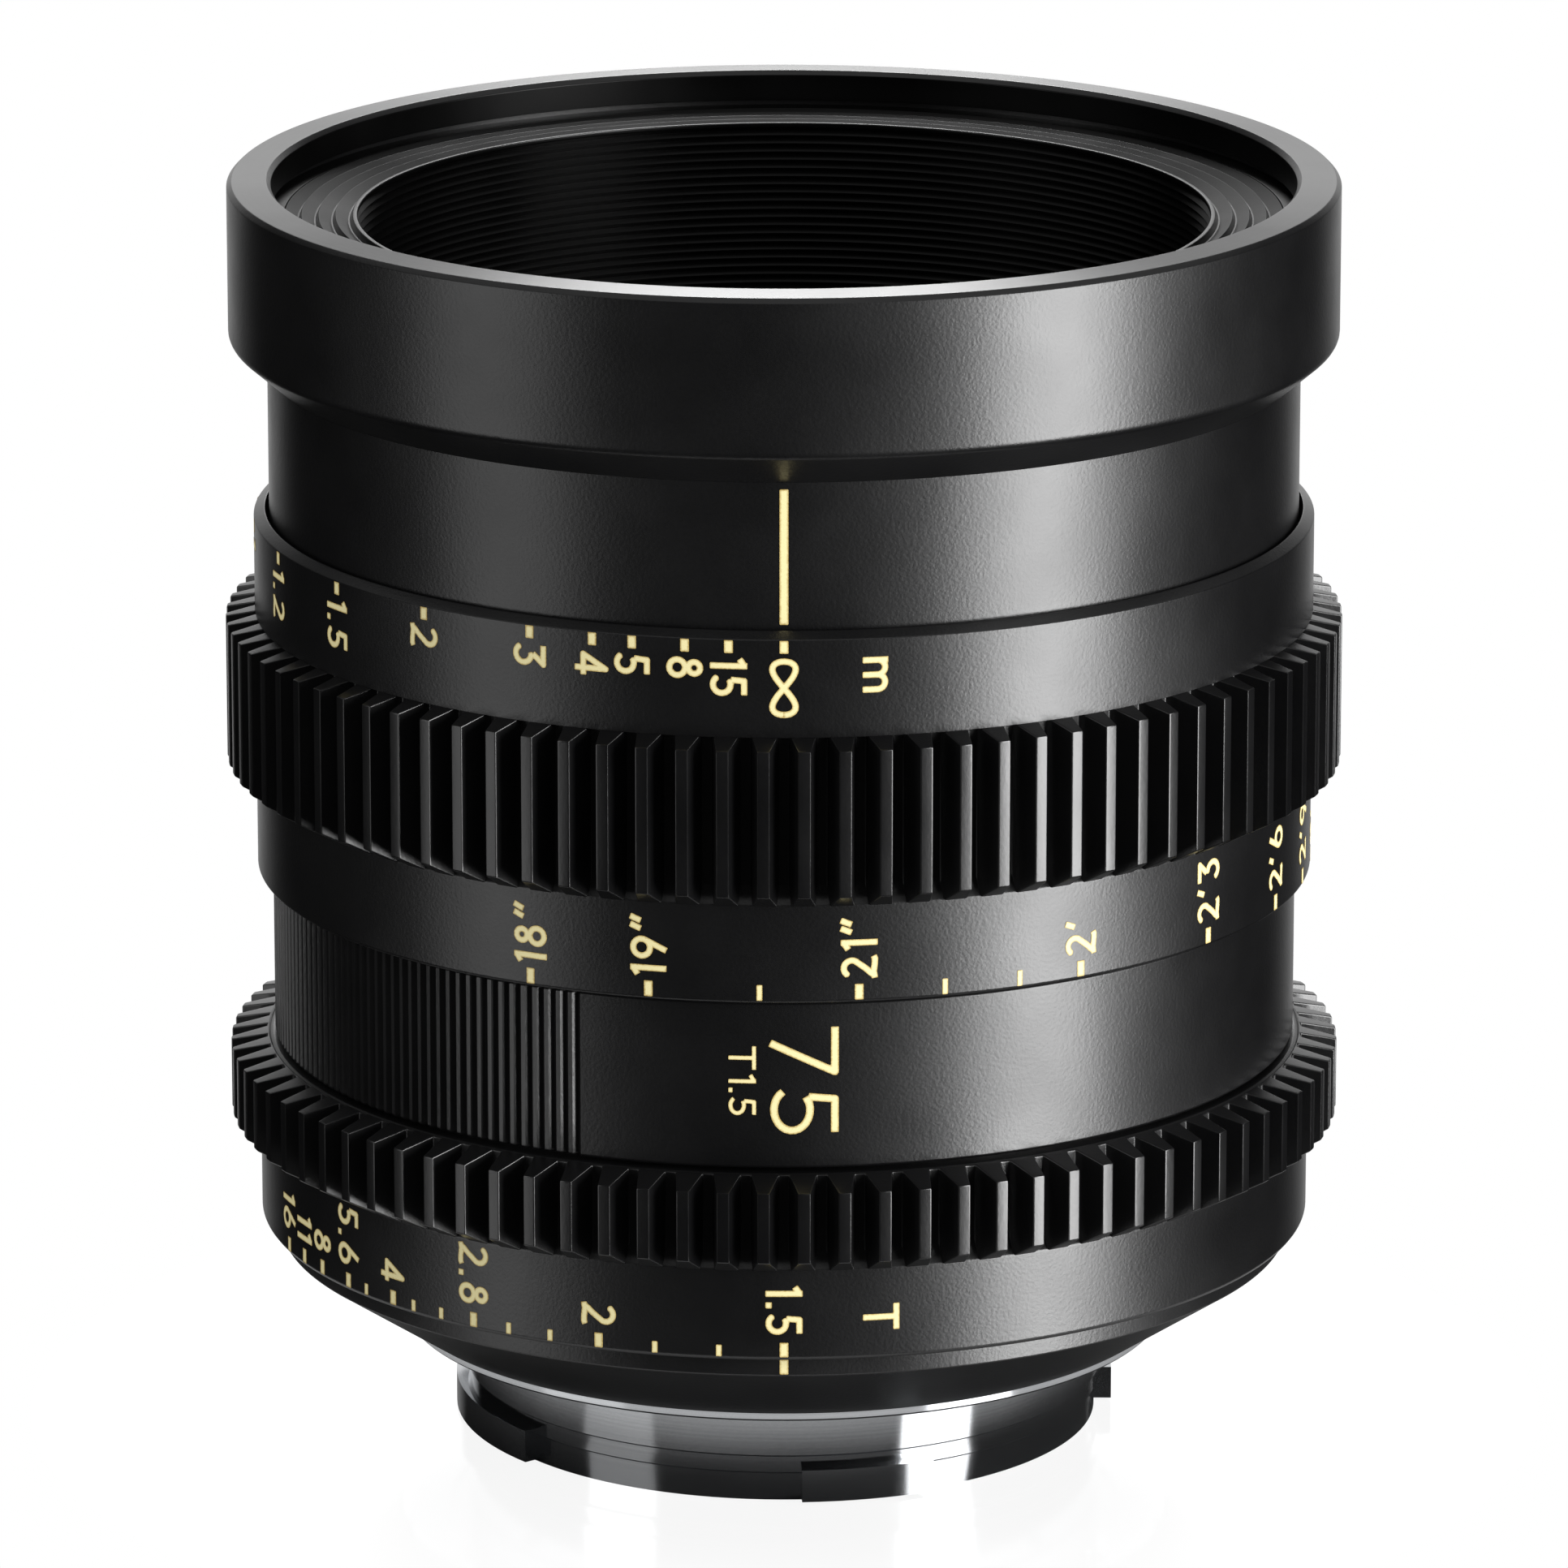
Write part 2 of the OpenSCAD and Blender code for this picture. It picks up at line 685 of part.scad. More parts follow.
module focus_ring() {
    edge = 0.15;
    top_chamfer = 0.45;
    top_land = 0.1;
    color("#1b1b1d") difference() {
        union() {
            turned([
                [cam_bore_r, z_focus], [band_r - edge, z_focus],
                [band_r, z_focus + edge], [band_r, z_focus_top - top_chamfer],
                [focus_bore_r + top_land, z_focus_top], [focus_bore_r, z_focus_top],
                [focus_bore_r, z_cam], [cam_bore_r, z_cam]
            ]);
            gear_rim(z_focus + focus_gear_z, z_focus + focus_gear_z + focus_gear_h);
        }
        drive_screw_places() {
            translate([0, 0, -1]) cylinder(r = screw_r + eps, h = focus_floor + 2);
            translate([0, 0, -1]) cylinder(r = screw_head_r + eps, h = 1 + screw_head_h + eps);
        }
    }
}

module focus_drive_screws() {
    color("#8c8f94") drive_screw_places() {
        cylinder(r = screw_r, h = focus_floor + cam_foot - 0.2);
        cylinder(r = screw_head_r, h = screw_head_h);
    }
}

module thrust_washer() {
    color("#d8d2c0") ring(mid_bore_r - 0.2, main_bore_r + 0.1, z_mid_top + eps, z_focus - 0.04);
}

module focus_retaining_ring() {
    color("#202022") ring(cam_r, guide_r + seat_gap, z_cam_top + 0.1, z_guide_top);
}

// Fixed body

module guide_barrel() {
    color("#3a3a3c") difference() {
        ring(guide_r, guide_bore_r, z_guide, z_guide_top);
        for (a = roller_angles) {
            spoke(a, z_roller, guide_bore_r - 1, guide_r + 1, slot_half);
            spoke(a, z_roller + focus_travel, guide_bore_r - 1, guide_r + 1, slot_half);
            rotate([0, 0, a])
                translate([guide_bore_r - 1, -slot_half, z_roller])
                    cube([guide_wall + 2, 2 * slot_half, focus_travel]);
        }
    }
}

module main_barrel() {
    ledge_h = 1;
    ledge_r = guide_bore_r + 0.4;
    window_half = drive_pin_r + window_gap;
    window_end = asin(window_half / main_bore_r) + 0.4;
    color("#242426") difference() {
        turned([
            [main_bore_r, z_index_top], [iris_bore_r - run_fit, z_index_top],
            [iris_bore_r - run_fit, z_mid], [mid_bore_r - seat_gap, z_mid],
            [mid_bore_r - seat_gap, z_mid_top], [main_bore_r, z_mid_top],
            [main_bore_r, z_guide], [ledge_r, z_guide],
            [ledge_r, z_guide - ledge_h], [main_bore_r, z_guide - ledge_h]
        ]);
        ring_arc(
            iris_bore_r + 1, main_bore_r - 1,
            z_drive_pin - window_half, z_drive_pin + window_half,
            bar_angle - window_end, bar_angle + iris_throw + window_end
        );
    }
}

module mid_sleeve() {
    edge = 0.15;
    count = floor(rib_arc / rib_pitch);
    half = barrel_r * rib_pitch / 2 * PI / 180 * 0.8;
    color("#1b1b1d") difference() {
        turned([
            [mid_bore_r, z_mid], [barrel_r - edge, z_mid], [barrel_r, z_mid + edge],
            [barrel_r, z_mid_top - edge], [barrel_r - edge, z_mid_top], [mid_bore_r, z_mid_top]
        ]);
        for (i = [0:count])
            rotate([0, 0, 180 + (i - count / 2) * rib_pitch])
                translate([0, 0, z_mid - 1])
                    linear_extrude(mid_sleeve_h + 2)
                        polygon([
                            [barrel_r - rib_depth, 0],
                            [barrel_r + 0.1, -half],
                            [barrel_r + 0.1, half]
                        ]);
    }
}

module index_ring() {
    edge = 0.1;
    color("#1b1b1d") turned([
        [main_bore_r, z_index], [index_r - edge, z_index], [index_r, z_index + edge],
        [index_r, z_index_top], [main_bore_r, z_index_top]
    ]);
}

module mount_screw_places() {
    for (i = [0:mount_screw_count - 1])
        rotate([0, 0, (i + 0.5) * 360 / mount_screw_count])
            translate([mount_screw_r, 0, 0])
                children();
}

module rear_housing() {
    floor_h = 3.8;
    in_r = tail_spigot_r - tail_spigot_wall;
    color("#18181a") difference() {
        turned([
            [hub_r + seat_gap, z_tail], [flange_r + 0.2, z_tail],
            [index_r - 0.1, z_index], [tail_spigot_r, z_index],
            [tail_spigot_r, z_index + tail_spigot_h],
            [in_r, z_index + tail_spigot_h], [in_r, z_tail + floor_h],
            [hub_r + seat_gap, z_tail + floor_h]
        ]);
        mount_screw_places()
            translate([0, 0, -1]) cylinder(r = screw_r + eps, h = 4.2);
    }
}

module claw(centre, width) {
    z0 = -mount_depth + 0.2;
    ring_arc(
        claw_r, spigot_r - 0.8, z0, z0 + claw_h,
        front_angle + centre - width / 2, front_angle + centre + width / 2
    );
}

module bayonet_mount() {
    step = 0.2;
    relief = 0.2;
    chamfer = 0.15;
    z_groove = -3.9;
    z_line = -5.1;
    color("#d3d5d8") difference() {
        union() {
            turned([
                [mount_bore_r, -mount_depth], [spigot_r - 2 * step, -mount_depth],
                [spigot_r - 2 * step, z_line], [spigot_r - step, z_line + chamfer],
                [spigot_r - step, z_groove], [spigot_r, z_groove + chamfer],
                [spigot_r, relief], [seat_in_r, relief], [seat_in_r, 0],
                [flange_r - chamfer, 0], [flange_r, chamfer], [flange_r, z_tail],
                [hub_r, z_tail], [hub_r, z_tail + hub_h], [mount_bore_r, z_tail + hub_h]
            ]);
            for (k = [0, 180]) {
                claw(claw_narrow_at + k, claw_narrow);
                claw(claw_wide_at + k, claw_wide);
            }
        }
        mount_screw_places() {
            translate([0, 0, -1]) cylinder(r = screw_r + eps, h = 4);
            translate([0, 0, -1])
                cylinder(r = screw_head_r + eps, h = 1 + head_sink + screw_head_h + eps);
        }
    }
}

module mount_screws() {
    slot_w = 0.35;
    color("#a9acb0") mount_screw_places()
        difference() {
            union() {
                translate([0, 0, head_sink]) cylinder(r = screw_r, h = 3);
                translate([0, 0, head_sink]) cylinder(r = screw_head_r, h = screw_head_h);
            }
            for (a = [0, 90])
                rotate([0, 0, a])
                    translate([-0.7, -slot_w / 2, -1])
                        cube([1.4, slot_w, 1.3]);
        }
}

module rear_baffle() {
    lip = 0.5;
    z_top = z_rear_tip - 0.5;
    color("#141415") turned([
        [baffle_in_r, -mount_depth + lip], [mount_bore_r - seat_gap, -mount_depth + lip],
        [mount_bore_r - seat_gap, z_top], [baffle_in_r + 1.4, z_top]
    ]);
}

// Iris

module iris_ring() {
    edge = 0.2;
    color("#1b1b1d") difference() {
        union() {
            turned([
                [iris_bore_r, z_iris], [band_r - edge, z_iris], [band_r, z_iris + edge],
                [band_r, z_iris_top], [iris_bore_r, z_iris_top]
            ]);
            gear_rim(z_iris_top - iris_gear_h, z_iris_top);
        }
        spoke(bar_angle, z_drive_pin, iris_bore_r - 1, band_r - 0.5, drive_pin_r + eps);
    }
}

// Ring inside the main barrel, with the bar that the sliding iris follows
module iris_coupling_ring() {
    ring_in_r = bar_in_r + 0.6;
    bar_top = z_actuator + actuator_h + focus_travel + 2;
    color("#4a4a4d") difference() {
        union() {
            ring(main_bore_r - run_fit, ring_in_r, z_coupling, z_coupling + coupling_h);
            ring_arc(
                bar_out_r, bar_in_r, z_coupling, bar_top,
                bar_angle - bar_half, bar_angle + bar_half
            );
        }
        spoke(bar_angle, z_drive_pin, bar_in_r + 0.5, main_bore_r + 1, drive_pin_r + eps);
    }
}

module iris_drive_pin() {
    color("#8c8f94") spoke(bar_angle, z_drive_pin, bar_in_r + 0.6, band_r - 0.6, drive_pin_r);
}

// Place of a blade's drive pin when the iris ring has turned by the angle turn
function drive_pin_at(turn) =
    polar(pivot_r, 0)
    + turn2(polar(pivot_r, lever_angle) - polar(pivot_r, 0), blade_ratio * turn);

// The same place seen from the turning actuator
function slot_at(turn) = turn2(drive_pin_at(turn), -turn);
function slot_side(turn, side) =
    let (
        run = slot_at(turn + 1) - slot_at(turn - 1),
        across = [-run[1], run[0]] / norm(run)
    )
    slot_at(turn) + side * cam_slot_half * across;

module iris_actuator() {
    steps = 13;
    turns = [for (k = [0:steps])
        -slot_margin + (iris_throw + 2 * slot_margin) * k / steps];
    outline = concat(
        [for (t = turns) slot_side(t, 1)],
        [for (i = [len(turns) - 1:-1:0]) slot_side(turns[i], -1)]
    );
    fork_gap = 0.2;
    color("#b5995a") difference() {
        union() {
            ring(chamber_r - 0.12, iris_open_r + 0.4, z_actuator, z_actuator + actuator_h);
            ring_arc(
                bar_out_r, chamber_r - 1, z_actuator, z_actuator + actuator_h,
                bar_angle - fork_half, bar_angle + fork_half
            );
        }
        ring_arc(
            bar_out_r + 1, bar_in_r - 0.2, z_actuator - 1, z_actuator + actuator_h + 1,
            bar_angle - bar_half - fork_gap, bar_angle + bar_half + fork_gap
        );
        for (i = [1:blade_count])
            rotate([0, 0, i * 360 / blade_count])
                translate([0, 0, z_actuator - 1])
                    linear_extrude(actuator_h + 2)
                        polygon(outline);
    }
}

// Height of a tilted blade above its middle plane at a point
function blade_rise(p) = tan(blade_tilt) * (p[1] * cos(blade_mid) - p[0] * sin(blade_mid));

module iris_blade(i) {
    pivot = polar(pivot_r, 0);
    drive = polar(pivot_r, lever_angle);
    edge_r = pivot_r + blade_ear - 0.15;
    pivot_z = z_blade + blade_rise(pivot);
    drive_z = z_blade + blade_rise(drive);
    color("#3c3d40") rotate([0, 0, i * 360 / blade_count]) {
        translate([0, 0, z_blade])
            rotate(a = blade_tilt, v = [cos(blade_mid), sin(blade_mid), 0])
                translate([0, 0, -blade_t / 2]) {
                    ring_arc(blade_r, iris_open_r, 0, blade_t, 12, blade_arc);
                    linear_extrude(blade_t) polygon([
                        polar(edge_r, 0), polar(edge_r, lever_angle + 2),
                        polar(blade_r, lever_angle + 6), polar(iris_open_r + 0.3, 15),
                        polar(pivot_r - 4.2, 2), polar(pivot_r - 1.5, -1.2)
                    ]);
                    translate(pivot) cylinder(r = blade_ear, h = blade_t);
                }
        translate([pivot[0], pivot[1], pivot_z])
            cylinder(r = blade_pin_r, h = z_iris_plate + 0.8 - pivot_z);
        translate([drive[0], drive[1], z_actuator + 0.1])
            cylinder(r = blade_pin_r, h = drive_z - z_actuator - 0.1);
    }
}

front_ring();
front_baffle();
front_barrel();
front_cell();
element_1_ring();
element_1();
element_2_ring();
element_2();
element_3_ring();
element_3_crown();
element_3_flint();
cam_rollers();
roller_screws();
rear_cell();
element_4_ring();
element_4_flint();
element_4_crown();
element_5();
element_5_ring();
iris_actuator();
iris_ring();
iris_coupling_ring();
iris_drive_pin();
focus_ring();
cam_sleeve();
focus_drive_screws();
thrust_washer();
focus_retaining_ring();
guide_barrel();
main_barrel();
mid_sleeve();
index_ring();
rear_housing();
bayonet_mount();
mount_screws();
rear_baffle();
for (i = [1:blade_count]) {
    iris_blade(i);
}
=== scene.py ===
"""Dresses the cinema prime lens: turned and blasted barrels, cut scales, glass and a studio."""

import logging
import math
from collections.abc import Callable, Sequence
from dataclasses import dataclass, field
from enum import Enum

import bmesh
import bpy
import numpy as np
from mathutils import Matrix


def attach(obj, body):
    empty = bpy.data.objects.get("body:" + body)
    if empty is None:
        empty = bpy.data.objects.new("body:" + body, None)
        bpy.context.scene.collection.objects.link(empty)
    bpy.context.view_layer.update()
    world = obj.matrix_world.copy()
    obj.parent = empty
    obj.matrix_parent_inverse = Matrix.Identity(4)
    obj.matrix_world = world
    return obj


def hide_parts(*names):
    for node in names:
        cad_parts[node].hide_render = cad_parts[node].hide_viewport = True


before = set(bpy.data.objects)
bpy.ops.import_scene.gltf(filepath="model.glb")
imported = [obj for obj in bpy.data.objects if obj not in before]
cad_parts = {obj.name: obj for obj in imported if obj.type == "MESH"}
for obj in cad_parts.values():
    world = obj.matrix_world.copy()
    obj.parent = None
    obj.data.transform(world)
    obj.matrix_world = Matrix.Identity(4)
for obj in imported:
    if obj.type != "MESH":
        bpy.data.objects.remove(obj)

LOG = logging.getLogger("prime_lens")
MM = 0.001
# A quarter turn lays the streak of a faced rim across its tool rings, as a fan.
FAN_TURN = 0.25

Point = tuple[float, float]
Corner = tuple[float, float, float]


def linear(colour: str) -> tuple[float, float, float, float]:
    """Turns an sRGB hex colour into linear light.

    Args:
        colour: Six hex digits after a hash sign.

    Returns:
        Red, green, blue and an alpha of one.
    """
    parts = [int(colour[i:i + 2], 16) / 255 for i in (1, 3, 5)]
    knee, gamma = 0.04045, 2.4
    light = [c / 12.92 if c <= knee else ((c + 0.055) / 1.055) ** gamma for c in parts]
    return (*light, 1.0)


def add_node(
    tree: bpy.types.NodeTree, kind: str, sockets: dict | None = None, **settings: object
) -> bpy.types.Node:
    """Adds a node with its settings and links.

    Args:
        tree: The node tree that takes the node.
        kind: Blender's name of the node.
        sockets: Values or output sockets for the node's inputs, by name or number.
        settings: Properties of the node itself.

    Returns:
        The new node.
    """
    node = tree.nodes.new(kind)
    for name, value in settings.items():
        setattr(node, name, value)
    for name, value in (sockets or {}).items():
        if isinstance(value, bpy.types.NodeSocket):
            tree.links.new(value, node.inputs[name])
        else:
            node.inputs[name].default_value = value
    return node


# Finishes


def blank_material(name: str) -> tuple[bpy.types.Material, bpy.types.NodeTree, bpy.types.Node]:
    """Makes a material with only its shader.

    Args:
        name: Name of the material.

    Returns:
        The material, its node tree and its shader.
    """
    made = bpy.data.materials.new(name)
    made.use_nodes = True
    return made, made.node_tree, made.node_tree.nodes["Principled BSDF"]


class Pattern(Enum):
    """How a surface was made, which sets the way its grain runs."""

    BLASTED = "even grain in every direction"
    TURNED = "fine rings round the lens axis"
    MOULDED = "soft, shallow grain"


@dataclass(frozen=True)
class Finish:
    """A solid material and how its surface was made."""

    name: str
    dark: str
    light: str
    roughness: tuple[float, float]
    grain_mm: float
    relief_mm: float
    pattern: Pattern = Pattern.BLASTED
    metallic: float = 0.0
    ior: float = 1.5
    bump: float = 0.3
    tone_mm: float = 7.0
    anisotropy: float = 0.0

    def material(self) -> bpy.types.Material:
        """Makes the material, or gives the one that is there.

        Returns:
            The material of this finish.
        """
        if self.name in bpy.data.materials:
            return bpy.data.materials[self.name]
        made, tree, shader = blank_material(self.name)
        fixed = {
            "Metallic": self.metallic, "IOR": self.ior, "Anisotropic": self.anisotropy,
            "Anisotropic Rotation": FAN_TURN,
        }
        for socket, value in fixed.items():
            shader.inputs[socket].default_value = value
        place = add_node(tree, "ShaderNodeTexCoord").outputs["Object"]
        grain_at = place
        if self.pattern is Pattern.TURNED:
            parts = add_node(tree, "ShaderNodeSeparateXYZ", {0: place})
            flat = add_node(
                tree, "ShaderNodeCombineXYZ",
                {"X": parts.outputs["X"], "Y": parts.outputs["Y"]})
            reach = add_node(
                tree, "ShaderNodeVectorMath", {0: flat.outputs[0]}, operation="LENGTH")
            grain_at = add_node(
                tree, "ShaderNodeCombineXYZ",
                {"X": reach.outputs["Value"], "Y": parts.outputs["Z"]}).outputs[0]
        grain = add_node(
            tree, "ShaderNodeTexNoise",
            {"Vector": grain_at, "Scale": 1 / (self.grain_mm * MM), "Detail": 2.0})
        tone = add_node(
            tree, "ShaderNodeTexNoise",
            {"Vector": place, "Scale": 1 / (self.tone_mm * MM), "Detail": 3.0})
        mixed = add_node(
            tree, "ShaderNodeMath",
            {0: grain.outputs["Fac"], 1: tone.outputs["Fac"]}, operation="MULTIPLY")
        ramp = add_node(tree, "ShaderNodeValToRGB", {0: mixed.outputs[0]})
        ramp.color_ramp.elements[0].position = 0.12
        ramp.color_ramp.elements[0].color = linear(self.dark)
        ramp.color_ramp.elements[1].position = 0.42
        ramp.color_ramp.elements[1].color = linear(self.light)
        rough = add_node(
            tree, "ShaderNodeMapRange",
            {0: tone.outputs["Fac"], 1: 0.3, 2: 0.7, 3: self.roughness[0],
             4: self.roughness[1]})
        bump = add_node(
            tree, "ShaderNodeBump",
            {"Strength": self.bump, "Distance": self.relief_mm * MM,
             "Height": grain.outputs["Fac"]})
        tree.links.new(ramp.outputs["Color"], shader.inputs["Base Color"])
        tree.links.new(rough.outputs[0], shader.inputs["Roughness"])
        tree.links.new(bump.outputs["Normal"], shader.inputs["Normal"])
        if self.anisotropy:
            run = add_node(tree, "ShaderNodeTangent", direction_type="RADIAL", axis="Z")
            tree.links.new(run.outputs[0], shader.inputs["Tangent"])
        return made


@dataclass(frozen=True)
class CoatedGlass:
    """Polished optical glass with a thin antireflection coating on both faces."""

    name: str
    body: str
    edge: str
    ior: float
    film_nm: float

    def material(self) -> bpy.types.Material:
        """Makes the material, or gives the one that is there.

        Returns:
            The material of this glass.
        """
        if self.name in bpy.data.materials:
            return bpy.data.materials[self.name]
        made, tree, shader = blank_material(self.name)
        fixed = {
            "Transmission Weight": 1.0, "IOR": self.ior,
            "Thin Film Thickness": self.film_nm, "Thin Film IOR": 1.38,
        }
        for socket, value in fixed.items():
            shader.inputs[socket].default_value = value
        facing = add_node(tree, "ShaderNodeLayerWeight", {"Blend": 0.35})
        ramp = add_node(tree, "ShaderNodeValToRGB", {0: facing.outputs["Facing"]})
        ramp.color_ramp.elements[0].color = linear(self.body)
        ramp.color_ramp.elements[1].color = linear(self.edge)
        place = add_node(tree, "ShaderNodeTexCoord").outputs["Object"]
        haze = add_node(
            tree, "ShaderNodeTexNoise", {"Vector": place, "Scale": 1 / (4 * MM)})
        rough = add_node(
            tree, "ShaderNodeMapRange",
            {0: haze.outputs["Fac"], 1: 0.3, 2: 0.7, 3: 0.0, 4: 0.02})
        tree.links.new(ramp.outputs["Color"], shader.inputs["Base Color"])
        tree.links.new(rough.outputs[0], shader.inputs["Roughness"])
        return made


@dataclass(frozen=True)
class FilledEnamel:
    """Baked enamel wiped into an engraving, pale in the middle, with painted shade darkening it
    towards the borders.
    """

    name: str
    shaded_border: str
    middle: str
    crumb_mm: float = 0.15

    def material(self) -> bpy.types.Material:
        """Makes the material, or gives the one that is there.

        Returns:
            The material of the enamel.
        """
        if self.name in bpy.data.materials:
            return bpy.data.materials[self.name]
        made, tree, shader = blank_material(self.name)
        inset = add_node(tree, "ShaderNodeAttribute", attribute_name="inset")
        place = add_node(tree, "ShaderNodeTexCoord").outputs["Object"]
        crumb = add_node(
            tree, "ShaderNodeTexNoise",
            {"Vector": place, "Scale": 1 / (self.crumb_mm * MM), "Detail": 3.0})
        # Painted shade: the colour darkens towards the stroke borders and stands in for the shade
        # of the engraving's walls.
        painted_wall_shade = add_node(
            tree, "ShaderNodeMath",
            {0: crumb.outputs["Fac"], 1: 0.5, 2: inset.outputs["Fac"]},
            operation="MULTIPLY_ADD")
        ramp = add_node(tree, "ShaderNodeValToRGB", {0: painted_wall_shade.outputs[0]})
        ramp.color_ramp.elements[0].position = 0.2
        ramp.color_ramp.elements[0].color = linear(self.shaded_border)
        ramp.color_ramp.elements[1].position = 0.75
        ramp.color_ramp.elements[1].color = linear(self.middle)
        rough = add_node(
            tree, "ShaderNodeMapRange", {0: crumb.outputs["Fac"], 3: 0.4, 4: 0.6})
        tree.links.new(ramp.outputs["Color"], shader.inputs["Base Color"])
        tree.links.new(rough.outputs[0], shader.inputs["Roughness"])
        return made


# Dyed oxide on blasted aluminium: a satin black skin with a tight sandy sparkle. The blast
# pits are about 0.1 mm and are drawn at twice that so that they show.
BLACK_BARREL = Finish(
    "black_anodised_aluminium_blasted", "#060607", "#0c0c0d", (0.32, 0.37), 0.22, 0.015,
    ior=1.76, bump=0.8)
# The same oxide on hobbed gear teeth: smoother, so the flanks and lands take a cleaner shine.
BLACK_GEAR = Finish(
    "black_anodised_aluminium_hobbed", "#050506", "#0a0a0b", (0.28, 0.34), 0.25, 0.015,
    ior=1.76, bump=0.5)
# The same oxide on a lathe-faced rim: fine rings drag the light into a fan across the face.
# The tool marks are about 0.05 mm apart and are drawn at four times that.
BLACK_FACE = Finish(
    "black_anodised_aluminium_faced", "#101011", "#1a1a1b", (0.28, 0.34), 0.2, 0.01,
    Pattern.TURNED, ior=1.76, bump=0.2, anisotropy=0.8)
# Stray-light paint, sprayed thin: a deep black that shines only on the crests.
BAFFLE_BLACK = Finish(
    "stray_light_paint_sprayed", "#010101", "#040404", (0.3, 0.38), 0.18, 0.01,
    ior=1.36, bump=0.2)
# Black oxide on turned cells: close rings and a soft sheen.
CELL_BLACK = Finish(
    "black_anodised_aluminium_turned", "#0d0d0e", "#19191a", (0.34, 0.42), 0.12, 0.008,
    Pattern.TURNED, ior=1.76, bump=0.25)
# Turned brass: warm yellow metal with close rings from the lathe tool.
BRASS = Finish(
    "brass_turned", "#a8843e", "#c9a661", (0.24, 0.34), 0.12, 0.008,
    Pattern.TURNED, metallic=1.0, bump=0.25)
# Turned and tumbled steel for screws and pins: grey metal with broken edges.
STEEL = Finish(
    "steel_tumbled", "#8d9094", "#b1b4b8", (0.22, 0.36), 0.1, 0.006, metallic=1.0)
# Blackened spring steel: rolled foil with a thin dark film and a dull metallic glint.
BLADE_STEEL = Finish(
    "spring_steel_blackened", "#1d1e20", "#313236", (0.32, 0.44), 0.08, 0.003,
    metallic=1.0, bump=0.15)
# Pressed fluoropolymer: waxy off-white with a soft sheen.
SLIP_WASHER = Finish(
    "fluoropolymer_moulded", "#cfc8b4", "#e2dccb", (0.42, 0.55), 0.4, 0.01,
    Pattern.MOULDED, ior=1.38, bump=0.15)
# Hard chrome, turned and then polished: mirror bands softened a little round the axis.
CHROME = Finish(
    "hard_chrome_polished", "#c2c4c7", "#d2d4d6", (0.08, 0.12), 0.15, 0.002,
    Pattern.TURNED, metallic=1.0, bump=0.15, tone_mm=12.0)
# Enamel baked into the engraving: pale straw yellow, with painted shade turning it old gold at the
# borders, where the engraving's walls would shade it.
ENAMEL = FilledEnamel("enamel_filled_engraving", "#a8893a", "#f4e8ae")
# Crown and flint glass under a magnesium fluoride film: clear, with a faint violet shine.
CROWN = CoatedGlass("crown_glass_coated", "#f3f7f5", "#e4ece8", 1.62, 128.0)
FLINT = CoatedGlass("flint_glass_coated", "#f4f4ee", "#e8e6d8", 1.72, 118.0)


# Meshes


def rounded(corners: Sequence[Corner], steps: int = 4) -> list[Point]:
    """Rounds the corners of an outline.

    Args:
        corners: Radius, height and edge rounding of each corner, in millimetres.
        steps: Number of short edges in a rounding.

    Returns:
        The outline as radius and height points.
    """
    out: list[Point] = []
    count = len(corners)
    for i, (r, z, size) in enumerate(corners):
        here = np.array((r, z))
        back = np.array(corners[i - 1][:2]) - here
        ahead = np.array(corners[(i + 1) % count][:2]) - here
        room = 0.45 * min(np.linalg.norm(back), np.linalg.norm(ahead))
        cut = min(size, room)
        if cut <= 0:
            out.append((r, z))
            continue
        first = here + back / np.linalg.norm(back) * cut
        last = here + ahead / np.linalg.norm(ahead) * cut
        for k in range(steps + 1):
            t = k / steps
            p = (1 - t) ** 2 * first + 2 * t * (1 - t) * here + t * t * last
            out.append((float(p[0]), float(p[1])))
    return out


def finish_mesh(
    name: str, verts: list, faces: list, sharp_deg: float = 35.0, bevel_mm: float = 0.0
) -> bpy.types.Object:
    """Makes an object from points in millimetres, with clean normals.

    Args:
        name: Name of the piece.
        verts: Points in millimetres.
        faces: Faces as lists of point numbers.
        sharp_deg: Edges over this angle are shaded sharp.
        bevel_mm: Width of the broken edges, or zero for none.

    Returns:
        The new object, in the scene.
    """
    bm = bmesh.new()
    points = [bm.verts.new((x * MM, y * MM, z * MM)) for x, y, z in verts]
    for loop in faces:
        bm.faces.new([points[i] for i in loop])
    bmesh.ops.recalc_face_normals(bm, faces=bm.faces[:])
    if bevel_mm:
        edges = [e for e in bm.edges if e.calc_face_angle(0.0) > math.radians(18)]
        bmesh.ops.bevel(
            bm, geom=edges, offset=bevel_mm * MM, segments=2, profile=0.5,
            affect="EDGES", clamp_overlap=True)
    mesh = bpy.data.meshes.new(name)
    bm.to_mesh(mesh)
    bm.free()
    mesh.polygons.foreach_set("use_smooth", [True] * len(mesh.polygons))
    mesh.set_sharp_from_angle(angle=math.radians(sharp_deg))
    piece = bpy.data.objects.new(name, mesh)
    bpy.context.scene.collection.objects.link(piece)
    even = piece.modifiers.new("even_normals", "WEIGHTED_NORMAL")
    even.keep_sharp = True
    return piece


